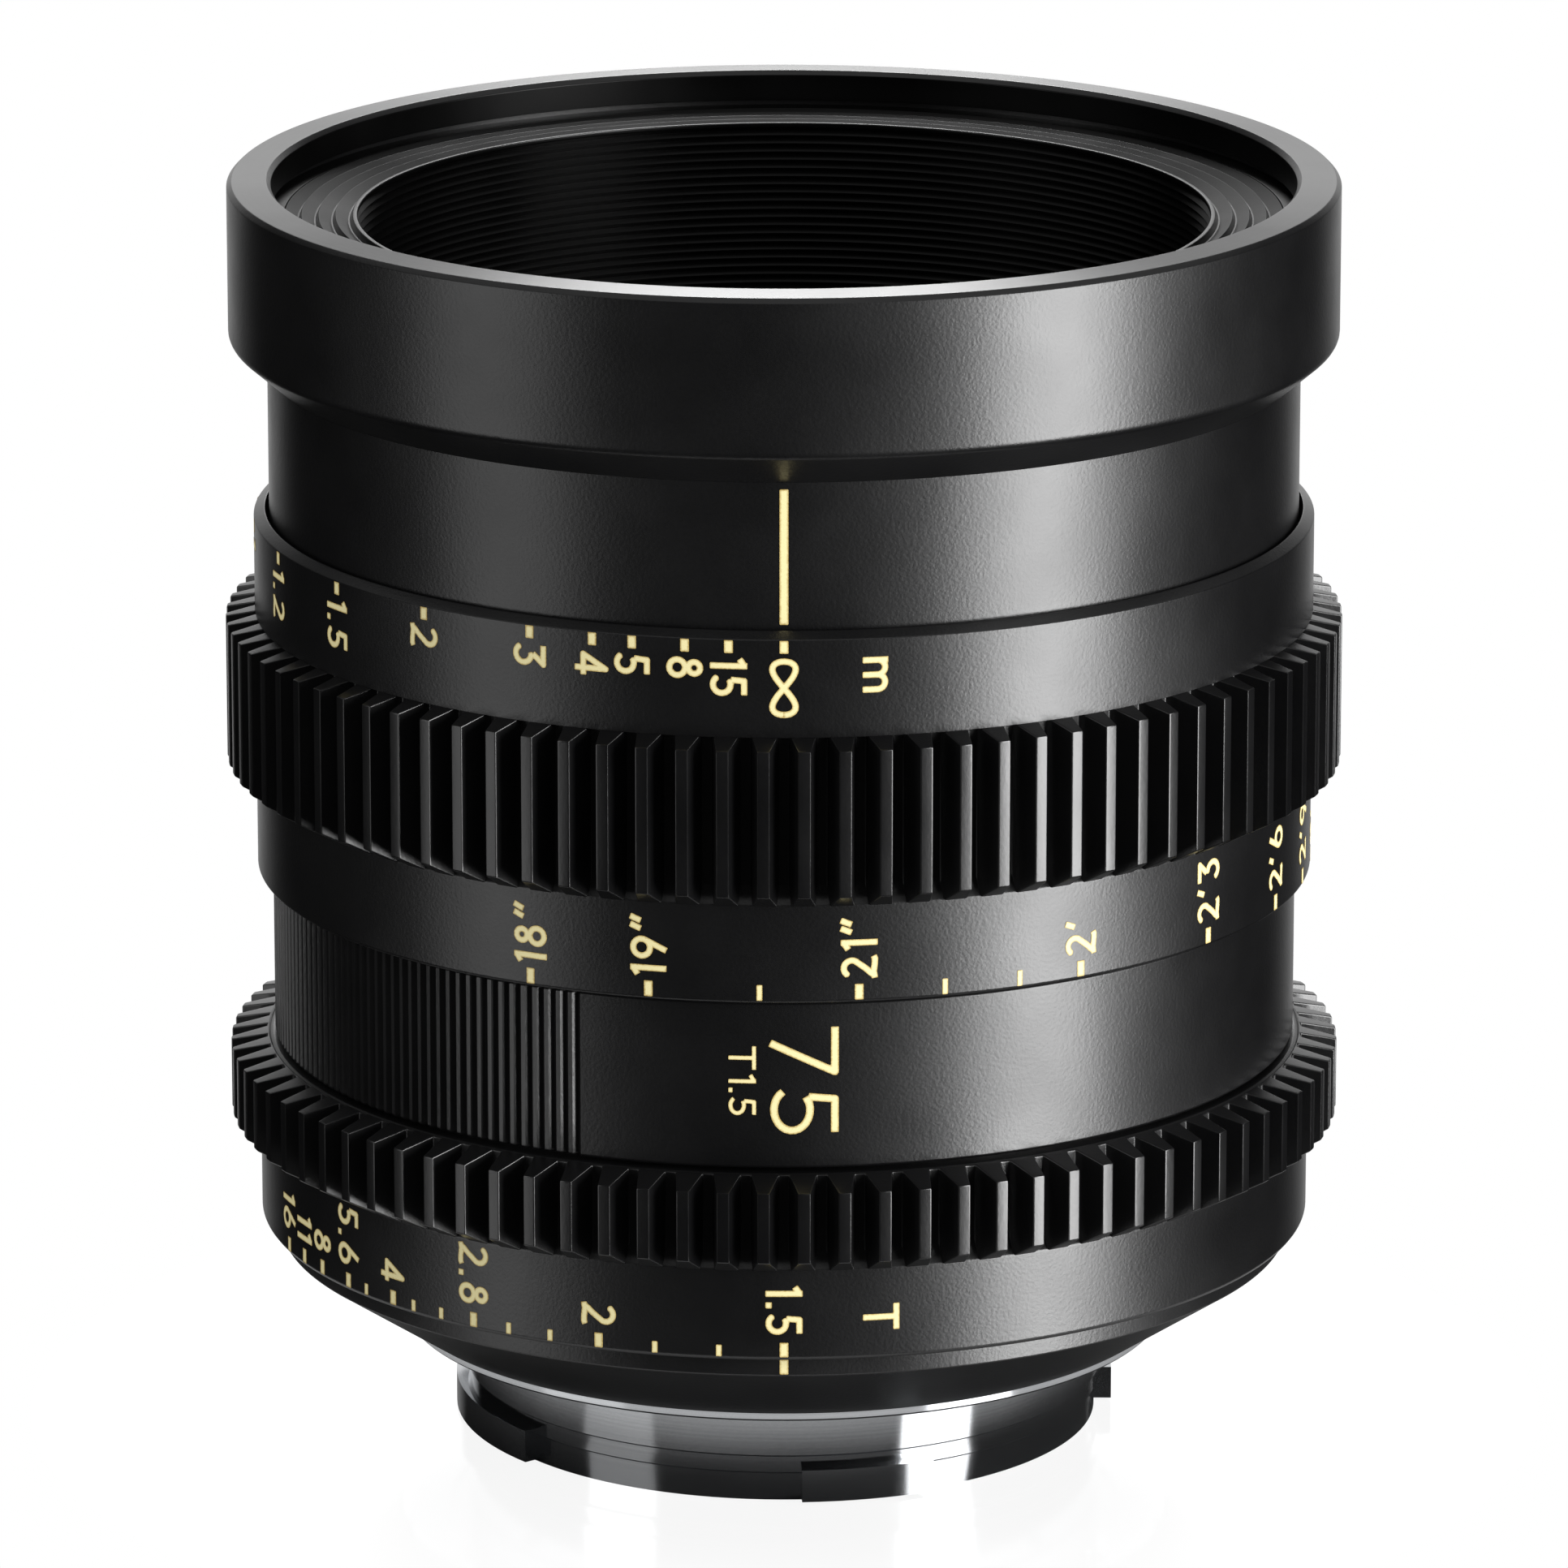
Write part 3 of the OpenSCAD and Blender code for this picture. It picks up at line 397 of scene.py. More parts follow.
def lathe(
    name: str, outline: Sequence[Point], angles: Sequence[float] | None = None,
    cut: Callable[[float, float], float] | None = None
) -> bpy.types.Object:
    """Turns a closed outline round the lens axis.

    Args:
        name: Name of the piece.
        outline: Radius and height points in millimetres.
        angles: Angles of the columns in radians; an even full turn if left out.
        cut: Depth taken off a point at a radius and an angle.

    Returns:
        The turned piece.
    """
    if angles is None:
        angles = np.linspace(0, 2 * math.pi, 300, endpoint=False)
    verts, faces = [], []
    rows, cols = len(outline), len(angles)
    for a in angles:
        for r, z in outline:
            reach = r - (cut(r, a) if cut else 0.0)
            verts.append((reach * math.cos(a), reach * math.sin(a), z))
    for i in range(cols):
        for j in range(rows):
            ahead, above = (i + 1) % cols * rows, (j + 1) % rows
            faces.append((i * rows + j, ahead + j, ahead + above, i * rows + above))
    return finish_mesh(name, verts, faces)


def on_ring(r: float, angle: float, z: float) -> tuple[float, float, float]:
    """Gives the point at a radius, an angle in radians and a height."""
    return (r * math.cos(angle), r * math.sin(angle), z)


@dataclass
class GearRim:
    """A toothed rim with sloped tooth ends and broken edges."""

    low: float
    high: float
    inner_r: float = 33.85
    root_r: float = 34.05
    tip_r: float = 36.4
    teeth: int = 89
    land: float = 0.8
    flank_deg: float = 11.0
    rise: float = 1.3
    fall: float = 0.52
    edge: float = 0.1
    sunk: float = 0.07

    @property
    def floor_r(self) -> float:
        """Gives the radius of the band under the rim."""
        return self.root_r - self.sunk

    def run_out(self, band_r: float) -> list[Corner]:
        """Gives the run-out of the cutter, a slope that closes the gaps at their lower end.

        Args:
            band_r: Radius of the band that carries the rim.

        Returns:
            Corners for the outline of the band, from the lower end up.
        """
        return [
            (band_r, self.low + 0.3, 0.1), (band_r - 0.3, self.low + 0.75, 0.3),
            (self.floor_r, self.low + 1.9, 0.5),
        ]

    def build(self, name: str) -> bpy.types.Object:
        """Builds the rim, with a tooth gap at the scale side.

        Args:
            name: Name of the piece.

        Returns:
            The toothed rim.
        """
        foot = self.land + 2 * (self.tip_r - self.root_r) * math.tan(
            math.radians(self.flank_deg))
        wide, narrow = foot / 2 / self.root_r, self.land / 2 / self.tip_r
        step = 2 * math.pi / self.teeth
        verts, faces = [], []
        for i in range(self.teeth):
            mid = -math.pi / 2 + (i + 0.5) * step
            for r, half, lift, drop in (
                (self.inner_r, wide, 0.0, 0.0), (self.root_r, wide, 0.0, 0.0),
                (self.tip_r, narrow, self.rise, self.fall),
            ):
                for side, z in (
                    (-half, self.low + lift), (half, self.low + lift),
                    (half, self.high - drop), (-half, self.high - drop),
                ):
                    verts.append(on_ring(r, mid + side, z))
            c, a, b = (12 * i + k for k in (0, 4, 8))
            d, e = ((12 * (i + 1)) % (12 * self.teeth) + k for k in (0, 4))
            # The tooth with its ends, then the ring that joins it to the next one.
            faces += [
                (b, b + 1, b + 2, b + 3), (a, b, b + 3, a + 3), (a + 1, a + 2, b + 2, b + 1),
                (a, a + 1, b + 1, b), (a + 3, b + 3, b + 2, a + 2), (c, c + 1, a + 1, a),
                (c + 3, a + 3, a + 2, c + 2), (c, c + 3, c + 2, c + 1),
                (a + 1, e, e + 3, a + 2), (c + 1, d, e, a + 1), (c + 2, a + 2, e + 3, d + 3),
                (c + 1, c + 2, d + 3, d),
            ]
        return finish_mesh(name, verts, faces, 30.0, self.edge)


# Lettering


def bow(
    x: float, y: float, rx: float, ry: float, start: float, end: float, steps: int = 18
) -> list[Point]:
    """Gives points along a part of an ellipse.

    Args:
        x: Centre across.
        y: Centre up.
        rx: Half width.
        ry: Half height.
        start: First angle in degrees.
        end: Last angle in degrees.
        steps: Number of short lines.

    Returns:
        The points in order.
    """
    turns = [math.radians(start + (end - start) * k / steps) for k in range(steps + 1)]
    return [(x + rx * math.cos(t), y + ry * math.sin(t)) for t in turns]


def letterforms(h: float) -> dict[str, tuple[float, list[list[Point]]]]:
    """Draws the numerals as cutter paths in units of their height.

    Args:
        h: Half the width of the cutter.

    Returns:
        Width and paths of each sign.
    """
    ring = 0.32 - h
    tail = (0.32 - 0.906 * ring, 0.32 + 0.423 * ring)
    lean = tail[0] + 0.467 * (1 - tail[1])
    six = [[(lean, 1.0), tail], bow(0.32, 0.32, ring, ring, 155, 515, 32)]
    nine = [[(0.64 - x, 1 - y) for x, y in path] for path in six]
    arch = (0.975 - 2 * h) / 4
    top = 0.69 - h - arch
    loop = [math.radians(k * 7.5) for k in range(49)]
    eight = [
        bow(0.31, 0.755, 0.245 - h, 0.245 - h, 90, 450, 28),
        bow(0.31, 0.3, 0.3 - h, 0.3 - h, 90, 450, 32),
    ]
    return {
        "0": (0.68, [bow(0.34, 0.5, 0.34 - h, 0.5 - h, 90, 450, 36)]),
        "1": (0.31, [[(0.03, 0.79), (0.31 - h, 1 - 0.9 * h)], [(0.31 - h, 1), (0.31 - h, 0)]]),
        "2": (0.64, [
            bow(0.31, 0.7, 0.3 - h, 0.3 - h, 150, -45)
            + [(0.3, 0.33), (0.17, 0.19), (0.07 + 0.3 * h, 0.75 * h)],
            [(0.02, 0.9 * h), (0.2, 1.25 * h), (0.42, 0.95 * h), (0.56, 0.9 * h), (0.64, 1.3 * h)],
        ]),
        "3": (0.62, [
            [(0.04, 1 - h), (0.56, 1 - h), (0.28, 0.6)],
            bow(0.31, 0.32, ring, ring, 98, -155),
        ]),
        "4": (0.7, [
            [(0.5, 0.0), (0.5, 1 - 1.4 * h), (1.5 * h, 0.25), (0.7, 0.25)],
        ]),
        "5": (0.6, [
            [(0.56, 1 - h), (0.08 + h, 1 - h), (0.05 + h, 0.56)],
            [(0.05 + h, 0.52)] + bow(0.27, 0.32, ring, ring, 108, -150),
        ]),
        "6": (0.64, six),
        "7": (0.64, [[(0.0, 1 - h), (0.64 - 1.3 * h, 1 - h), (0.2, 0.0)]]),
        "8": (0.62, eight),
        "9": (0.64, nine),
        ".": (2 * h, [[(0.0, h), (2 * h, h)]]),
        "'": (0.2, [[(0.04, 0.7), (0.16, 1.0)]]),
        '"': (0.42, [[(0.04, 0.7), (0.16, 1.0)], [(0.26, 0.7), (0.38, 1.0)]]),
        "o": (1.63, [[
            (0.815 + (0.815 - h) * math.cos(t), 0.5 + (0.395 - h) * math.sin(2 * t))
            for t in loop
        ]]),
        "m": (0.975, [
            [(h, 0.0), (h, 0.69)],
            bow(h + arch, top, arch, arch, 180, 0, 12) + [(h + 2 * arch, 0.0)],
            bow(h + 3 * arch, top, arch, arch, 180, 0, 12) + [(h + 4 * arch, 0.0)],
        ]),
        "T": (0.74, [[(0.0, 1 - h), (0.74, 1 - h)], [(0.37, 0.0), (0.37, 1.0)]]),
    }


class Reading(Enum):
    """Which way a label runs on the barrel, seen with the front up."""

    DOWN = -1
    UP = 1


@dataclass
class Label:
    """Numerals on a barrel, placed by the middle of their height and by one end."""

    text: str
    azimuth: float
    start: float
    reading: Reading = Reading.DOWN
    cap: float = 2.36
    stroke: float = 0.41
    gap: float = 0.36
    length: float | None = None
    ends_here: bool = False

    def paths(self, radius: float) -> list[tuple[list[Point], float]]:
        """Lays the numerals out on the unrolled barrel.

        Args:
            radius: Radius of the barrel in millimetres.

        Returns:
            Cutter paths round and along the barrel, each with its half width.
        """
        forms = letterforms(self.stroke / 2 / self.cap)
        widths = [forms[sign][0] * self.cap for sign in self.text]
        gaps = self.gap * (len(self.text) - 1)
        stretch = (self.length - gaps) / sum(widths) if self.length else 1.0
        run = sum(widths) * stretch + gaps
        way = self.reading.value
        begin = self.start - way * run if self.ends_here else self.start
        out, pen = [], 0.0
        for sign, width in zip(self.text, widths):
            for path in forms[sign][1]:
                placed = [(
                    radius * math.radians(self.azimuth) - way * (y - 0.5) * self.cap,
                    begin + way * (pen + x * self.cap * stretch),
                ) for x, y in path]
                out.append((placed, self.stroke / 2))
            pen += width * stretch + self.gap
        return out


@dataclass
class Tick:
    """A straight scale line along the barrel."""

    azimuth: float
    low: float
    high: float
    width: float = 0.56

    def paths(self, radius: float) -> list[tuple[list[Point], float]]:
        """Gives the cutter path of the line.

        Args:
            radius: Radius of the barrel in millimetres.

        Returns:
            One path round and along the barrel with its half width.
        """
        across = radius * math.radians(self.azimuth)
        return [([(across, self.low), (across, self.high)], self.width / 2)]


def path_distance(
    u: np.ndarray, v: np.ndarray, path: list[Point], half: float
) -> np.ndarray:
    """Measures how far points lie outside a cut with square ends and closed joints.

    Args:
        u: Places round the barrel.
        v: Places along the barrel.
        path: Points of the cutter path.
        half: Half the width of the cutter.

    Returns:
        Distances, below zero inside the cut.
    """
    best = np.full(u.shape, 1e9)
    for (ax, ay), (bx, by) in zip(path, path[1:]):
        length = math.hypot(bx - ax, by - ay)
        tx, ty = (bx - ax) / length, (by - ay) / length
        along = (u - ax) * tx + (v - ay) * ty - length / 2
        over = np.abs(along) - length / 2
        side = np.abs((v - ay) * tx - (u - ax) * ty) - half
        outside = np.hypot(np.maximum(over, 0), np.maximum(side, 0))
        best = np.minimum(best, outside + np.minimum(np.maximum(over, side), 0))
    for x, y in path[1:-1]:
        best = np.minimum(best, np.hypot(u - x, v - y) - half)
    return best


@dataclass
class Engraving:
    """Enamel-filled marks on one barrel, as a thin closed skin that follows it."""

    name: str
    radius: float
    body: str
    marks: list[Label | Tick]
    step: float = 0.065
    base: float = 0.004
    relief: float = 0.02
    verts: list = field(default_factory=list)
    faces: list = field(default_factory=list)
    inset: list = field(default_factory=list)

    def cut(self, mark: Label | Tick) -> None:
        """Adds the skin of one mark.

        Args:
            mark: The label or line to add.
        """
        paths = mark.paths(self.radius)
        flat = np.array([p for path, _ in paths for p in path])
        half = max(width for _, width in paths)
        lo, hi = flat.min(0) - half - self.step, flat.max(0) + half + self.step
        us = np.arange(lo[0], hi[0] + self.step, self.step)
        vs = np.arange(lo[1], hi[1] + self.step, self.step)
        u, v = np.meshgrid(us, vs, indexing="ij")
        depth = np.min([path_distance(u, v, p, w) for p, w in paths], axis=0)
        seen: dict = {}
        loops: list[list[int]] = []

        def point(a: tuple[int, int], b: tuple[int, int]) -> int:
            """Gives the number of a grid point or of the border crossing between two."""
            key = (min(a, b), max(a, b))
            if key not in seen:
                t = 0.0 if a == b else depth[a] / (depth[a] - depth[b])
                at = (u[a] + t * (u[b] - u[a]), v[a] + t * (v[b] - v[a]))
                rim = 0.0 if a != b else min(1.0, -depth[a] / half)
                seen[key] = (len(seen), at, rim)
            return seen[key][0]

        inside = depth < 0
        near = inside[:-1, :-1] | inside[1:, :-1] | inside[:-1, 1:] | inside[1:, 1:]
        for i, j in np.argwhere(near):
            ring = [(i, j), (i + 1, j), (i + 1, j + 1), (i, j + 1)]
            ring = [(int(a), int(b)) for a, b in ring]
            loop = []
            for a, b in zip(ring, ring[1:] + ring[:1]):
                if inside[a]:
                    loop.append(point(a, a))
                if inside[a] != inside[b]:
                    loop.append(point(a, b))
            if len(loop) > 2:
                loops.append(loop)
        self.close(loops, [entry[1:] for entry in seen.values()])

    def close(self, loops: list[list[int]], places: list) -> None:
        """Closes a flat skin with walls and a back, and wraps it on the barrel.

        Args:
            loops: Faces of the skin.
            places: Place on the unrolled barrel and inset of each point.
        """
        start, count = len(self.verts), len(places)
        for lift in (self.relief, self.base):
            for (around, along), rim in places:
                angle = around / self.radius - math.pi / 2
                self.verts.append(on_ring(self.radius + lift, angle, along))
                self.inset.append(rim)
        edges = {(a, b) for loop in loops for a, b in zip(loop, loop[1:] + loop[:1])}
        top = [[start + i for i in loop] for loop in loops]
        back = [[start + count + i for i in reversed(loop)] for loop in loops]
        walls = [
            [start + b, start + a, start + count + a, start + count + b]
            for a, b in edges if (b, a) not in edges
        ]
        self.faces += top + back + walls

    def build(self) -> bpy.types.Object:
        """Builds all marks as one piece that rides on its barrel.

        Returns:
            The piece.
        """
        for mark in self.marks:
            self.cut(mark)
        mesh = bpy.data.meshes.new(self.name)
        mesh.from_pydata([[c * MM for c in p] for p in self.verts], [], self.faces)
        mesh.attributes.new("inset", "FLOAT", "POINT").data.foreach_set("value", self.inset)
        mesh.validate()
        piece = bpy.data.objects.new(self.name, mesh)
        bpy.context.scene.collection.objects.link(piece)
        mesh.materials.append(ENAMEL.material())
        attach(piece, self.body)
        LOG.info("%s: %d faces", self.name, len(mesh.polygons))
        return piece


# Sub-assemblies


@dataclass
class Assembly:
    """Pieces that ride on one body of the lens."""

    body: str = "barrel"

    def place(
        self, piece: bpy.types.Object, finish: Finish, slot: str, node: str | None = None
    ) -> bpy.types.Object:
        """Dresses a piece and hangs it on the body.

        Args:
            piece: The piece to place.
            finish: Its finish.
            slot: Material slot of the record that it takes. Not used.
            node: Node of the construction that it stands for, if any.

        Returns:
            The same piece.
        """
        piece.data.materials.append(finish.material())
        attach(piece, self.body)
        if node:
            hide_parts(node)
        LOG.info("%s on %s", piece.name, self.body)
        return piece


@dataclass
class FrontUnit(Assembly):
    """The sliding front: rim with filter recess, baffle with ridged tube, and barrel."""

    body: str = "front_unit"
    front_r: float = 36.0
    barrel_r: float = 33.5
    filter_r: float = 33.12
    seat_r: float = 32.32
    spigot_r: float = 31.85
    front_z: float = 76.35
    rim_z: float = 66.2
    barrel_top_z: float = 64.05
    skirt_z: float = 34.6
    face_z: float = 73.95
    face_back_z: float = 72.25
    hood_bore_r: float = 27.57
    hood_root_r: float = 27.9
    hood_r: float = 28.6
    hood_depth: float = 14.0
    ridge_pitch: float = 0.56
    grooves: int = 4
    groove_depth: float = 0.4
    face_fall: float = 0.1
    rim_edge: float = 0.3
    undercut: float = 0.5
    undercut_high: float = 0.4

    def rim(self) -> bpy.types.Object:
        """Builds the front rim with its filter recess and undercut.

        Returns:
            The rim.
        """
        low, edge = self.face_z + self.undercut_high, self.rim_edge
        brim = self.front_z - self.face_fall
        return lathe("front_rim", rounded([
            (self.spigot_r, self.barrel_top_z, 0), (self.barrel_r, self.barrel_top_z, 0.05),
            (self.front_r, self.rim_z, 0.35), (self.front_r, brim - edge, 0.06),
            (self.front_r - edge, brim, 0.06), (self.filter_r + edge, self.front_z, 0.06),
            (self.filter_r, self.front_z - edge, 0.06), (self.filter_r, low, 0.03),
            (self.filter_r + self.undercut, low, 0),
            (self.filter_r + self.undercut, self.face_z, 0), (self.seat_r, self.face_z, 0.05),
            (self.seat_r, self.face_back_z, 0), (self.spigot_r, self.face_back_z, 0),
        ]))

    def baffle(self) -> bpy.types.Object:
        """Builds the grooved face and the ridged tube behind it.

        Returns:
            The baffle.
        """
        land, face_r = 0.3, self.seat_r - 0.05
        pitch = (face_r - self.hood_bore_r - land) / self.grooves
        foot = self.face_z - self.hood_depth
        grooves = []
        for i in range(self.grooves):
            grooves += [
                (face_r - i * pitch, self.face_z, 0.05),
                (face_r - (i + 0.75) * pitch, self.face_z - self.groove_depth, 0.05),
                (face_r - (i + 0.85) * pitch, self.face_z - self.groove_depth, 0.03),
            ]
        ridges = []
        for i in range(int((self.hood_depth - land) / self.ridge_pitch)):
            z = self.face_z - land - i * self.ridge_pitch
            ridges += [
                (self.hood_bore_r, z, 0.05), (self.hood_root_r, z - self.ridge_pitch / 2, 0.05),
            ]
        return lathe("grooved_baffle", rounded([
            (self.hood_r, foot, 0), (self.hood_r, self.face_back_z, 0),
            (face_r, self.face_back_z, 0), *grooves,
            (self.hood_bore_r + land, self.face_z, 0.05), (self.hood_bore_r, self.face_z, 0.08),
            *ridges, (self.hood_root_r, foot, 0),
        ], 3))

    def barrel(self) -> bpy.types.Object:
        """Builds the sliding barrel with its web and spigot.

        Returns:
            The barrel.
        """
        web_low, web_high, web_r, skirt_r, wall_r = 57.2, 60.2, 29.79, 32.4, 31.0
        return lathe("sliding_barrel", rounded([
            (skirt_r, self.skirt_z, 0.1), (self.barrel_r, self.skirt_z, 0.1),
            (self.barrel_r, self.barrel_top_z, 0), (self.spigot_r - 0.05, self.barrel_top_z, 0),
            (self.spigot_r - 0.05, self.face_back_z, 0), (wall_r, self.face_back_z, 0),
            (wall_r, web_high, 0), (web_r, web_high, 0), (web_r, web_low, 0),
            (skirt_r, web_low, 0),
        ]))

    def build(self) -> None:
        """Builds and dresses the pieces of the sliding front."""
        rim = self.place(self.rim(), BLACK_BARREL, "black_anodised", "front_ring")
        baffle = self.place(self.baffle(), BAFFLE_BLACK, "matte_black", "front_baffle")
        self.place(self.barrel(), BLACK_BARREL, "black_anodised", "front_barrel")
        for finish in (BLACK_FACE, BAFFLE_BLACK):
            rim.data.materials.append(finish.material())
        for face in rim.data.polygons:
            if face.center.z > (self.front_z - self.rim_edge) * MM and face.normal.z > 0.97:
                face.material_index = 1
            elif math.hypot(face.center.x, face.center.y) < (self.filter_r + 0.02) * MM:
                face.material_index = 2
        baffle.data.materials.append(CELL_BLACK.material())
        for face in baffle.data.polygons:
            reach = math.hypot(face.center.x, face.center.y)
            if face.center.z > (self.face_z - 0.12) * MM and reach < (self.hood_bore_r + 0.1) * MM:
                face.material_index = 1
        Engraving("barrel_index_line", self.barrel_r, self.body, [Tick(0.0, 54.95, 63.62)]).build()


@dataclass
class FocusDrive(Assembly):
    """The focus ring: a scale band with an integral gear."""

    body: str = "focus_ring"
    band_r: float = 34.5
    bore_r: float = 33.75
    floor_r: float = 31.0
    low: float = 30.7
    high: float = 54.65
    floor_high: float = 32.2
    gear_low: float = 36.75
    gear_high: float = 48.04
    metres: tuple = (
        ("o", 0.0), ("15", -5.74), ("8", -10.32), ("5", -15.94), ("4", -20.29), ("3", -27.45),
        ("2", -41.02), ("1.5", -55.28), ("1.2", -69.97), ("1", -84.7), ("0.9", -94.7),
        ("0.8", -107.7), ("0.7", -124.9), ("0.6", -148.9), ("0.5", -185.2), ("", -207.6),
    )
    feet: tuple = (
        ('18"', -27.56), ('19"', -14.29), ("", -2.56), ('21"', 7.85), ("", 17.06), ("", 25.49),
        ("2'", 32.89), ("2'3", 51.64), ("2'6", 66.68), ("2'9", 77.6), ("3'", 86.8),
        ("4'", 111.3), ("5'", 125.4), ("7'", 141.3), ("10'", 153.0), ("15'", 162.0),
        ("25'", 169.2), ("o", 180.0),
    )

    def marks(self) -> list[Label | Tick]:
        """Lists the two distance scales.

        Returns:
            Labels and lines, the metres along the top and the feet along the bottom.
        """
        out: list[Label | Tick] = [Label("m", 10.1, 53.05)]
        for text, azimuth in self.metres:
            out.append(Tick(azimuth, 53.35, 54.18))
            if text:
                out.append(Label(text, azimuth, 53.06))
        for text, azimuth in self.feet:
            out.append(Tick(azimuth, 30.87, 31.9, 0.56 if text else 0.37))
            if text:
                out.append(Label(text, azimuth, 32.2, Reading.UP))
        return out

    def build(self) -> None:
        """Builds and dresses the focus ring."""
        rim = GearRim(self.gear_low, self.gear_high)
        ledge = self.gear_high - 0.12
        band = lathe("focus_band", rounded([
            (self.floor_r, self.low, 0), (self.band_r - 0.1, self.low, 0.05),
            (self.band_r, self.low + 0.15, 0.1), *rim.run_out(self.band_r),
            (rim.floor_r, ledge, 0), (self.band_r, ledge, 0.03),
            (self.band_r, self.high - 0.45, 0.08),
            (self.bore_r + 0.1, self.high, 0.05), (self.bore_r, self.high, 0.05),
            (self.bore_r, self.floor_high, 0), (self.floor_r, self.floor_high, 0),
        ]))
        self.place(band, BLACK_BARREL, "black_anodised", "focus_ring")
        self.place(rim.build("focus_gear"), BLACK_GEAR, "black_anodised")
        Engraving("focus_marks", self.band_r, self.body, self.marks()).build()


@dataclass
class IrisDrive(Assembly):
    """The iris ring: a T scale under an integral gear."""

    body: str = "iris_ring"
    band_r: float = 34.5
    bore_r: float = 32.3
    low: float = 7.15
    high: float = 19.3
    gear_low: float = 12.85
    stops: tuple = (
        ("1.5", 0.0), ("2", -19.91), ("2.8", -34.99), ("4", -46.58), ("5.6", -54.43),
        ("8", -59.9), ("11", -64.36), ("16", -68.9),
    )
    thirds: tuple = (-6.86, -13.72, -25.51, -30.52, -39.4, -43.42, -51.11)

    def marks(self) -> list[Label | Tick]:
        """Lists the stop scale.

        Returns:
            Labels and lines along the lower edge of the ring.
        """
        out: list[Label | Tick] = [Label("T", 10.26, 10.78)]
        for text, azimuth in self.stops:
            out += [Tick(azimuth, 7.38, 8.35), Label(text, azimuth, 8.85, ends_here=True)]
        return out + [Tick(azimuth, 7.38, 8.15, 0.37) for azimuth in self.thirds]

    def build(self) -> None:
        """Builds and dresses the iris ring."""
        rim = GearRim(self.gear_low, self.high)
        band = lathe("iris_band", rounded([
            (self.bore_r, self.low, 0.05), (self.band_r - 0.15, self.low, 0.06),
            (self.band_r, self.low + 0.2, 0.12), *rim.run_out(self.band_r),
            (rim.floor_r, self.high - 0.15, 0.05), (rim.root_r - 0.4, self.high, 0.05),
            (self.bore_r, self.high, 0),
        ]))
        self.place(band, BLACK_BARREL, "black_anodised", "iris_ring")
        self.place(rim.build("iris_gear"), BLACK_GEAR, "black_anodised")
        Engraving("iris_marks", self.band_r, self.body, self.marks()).build()


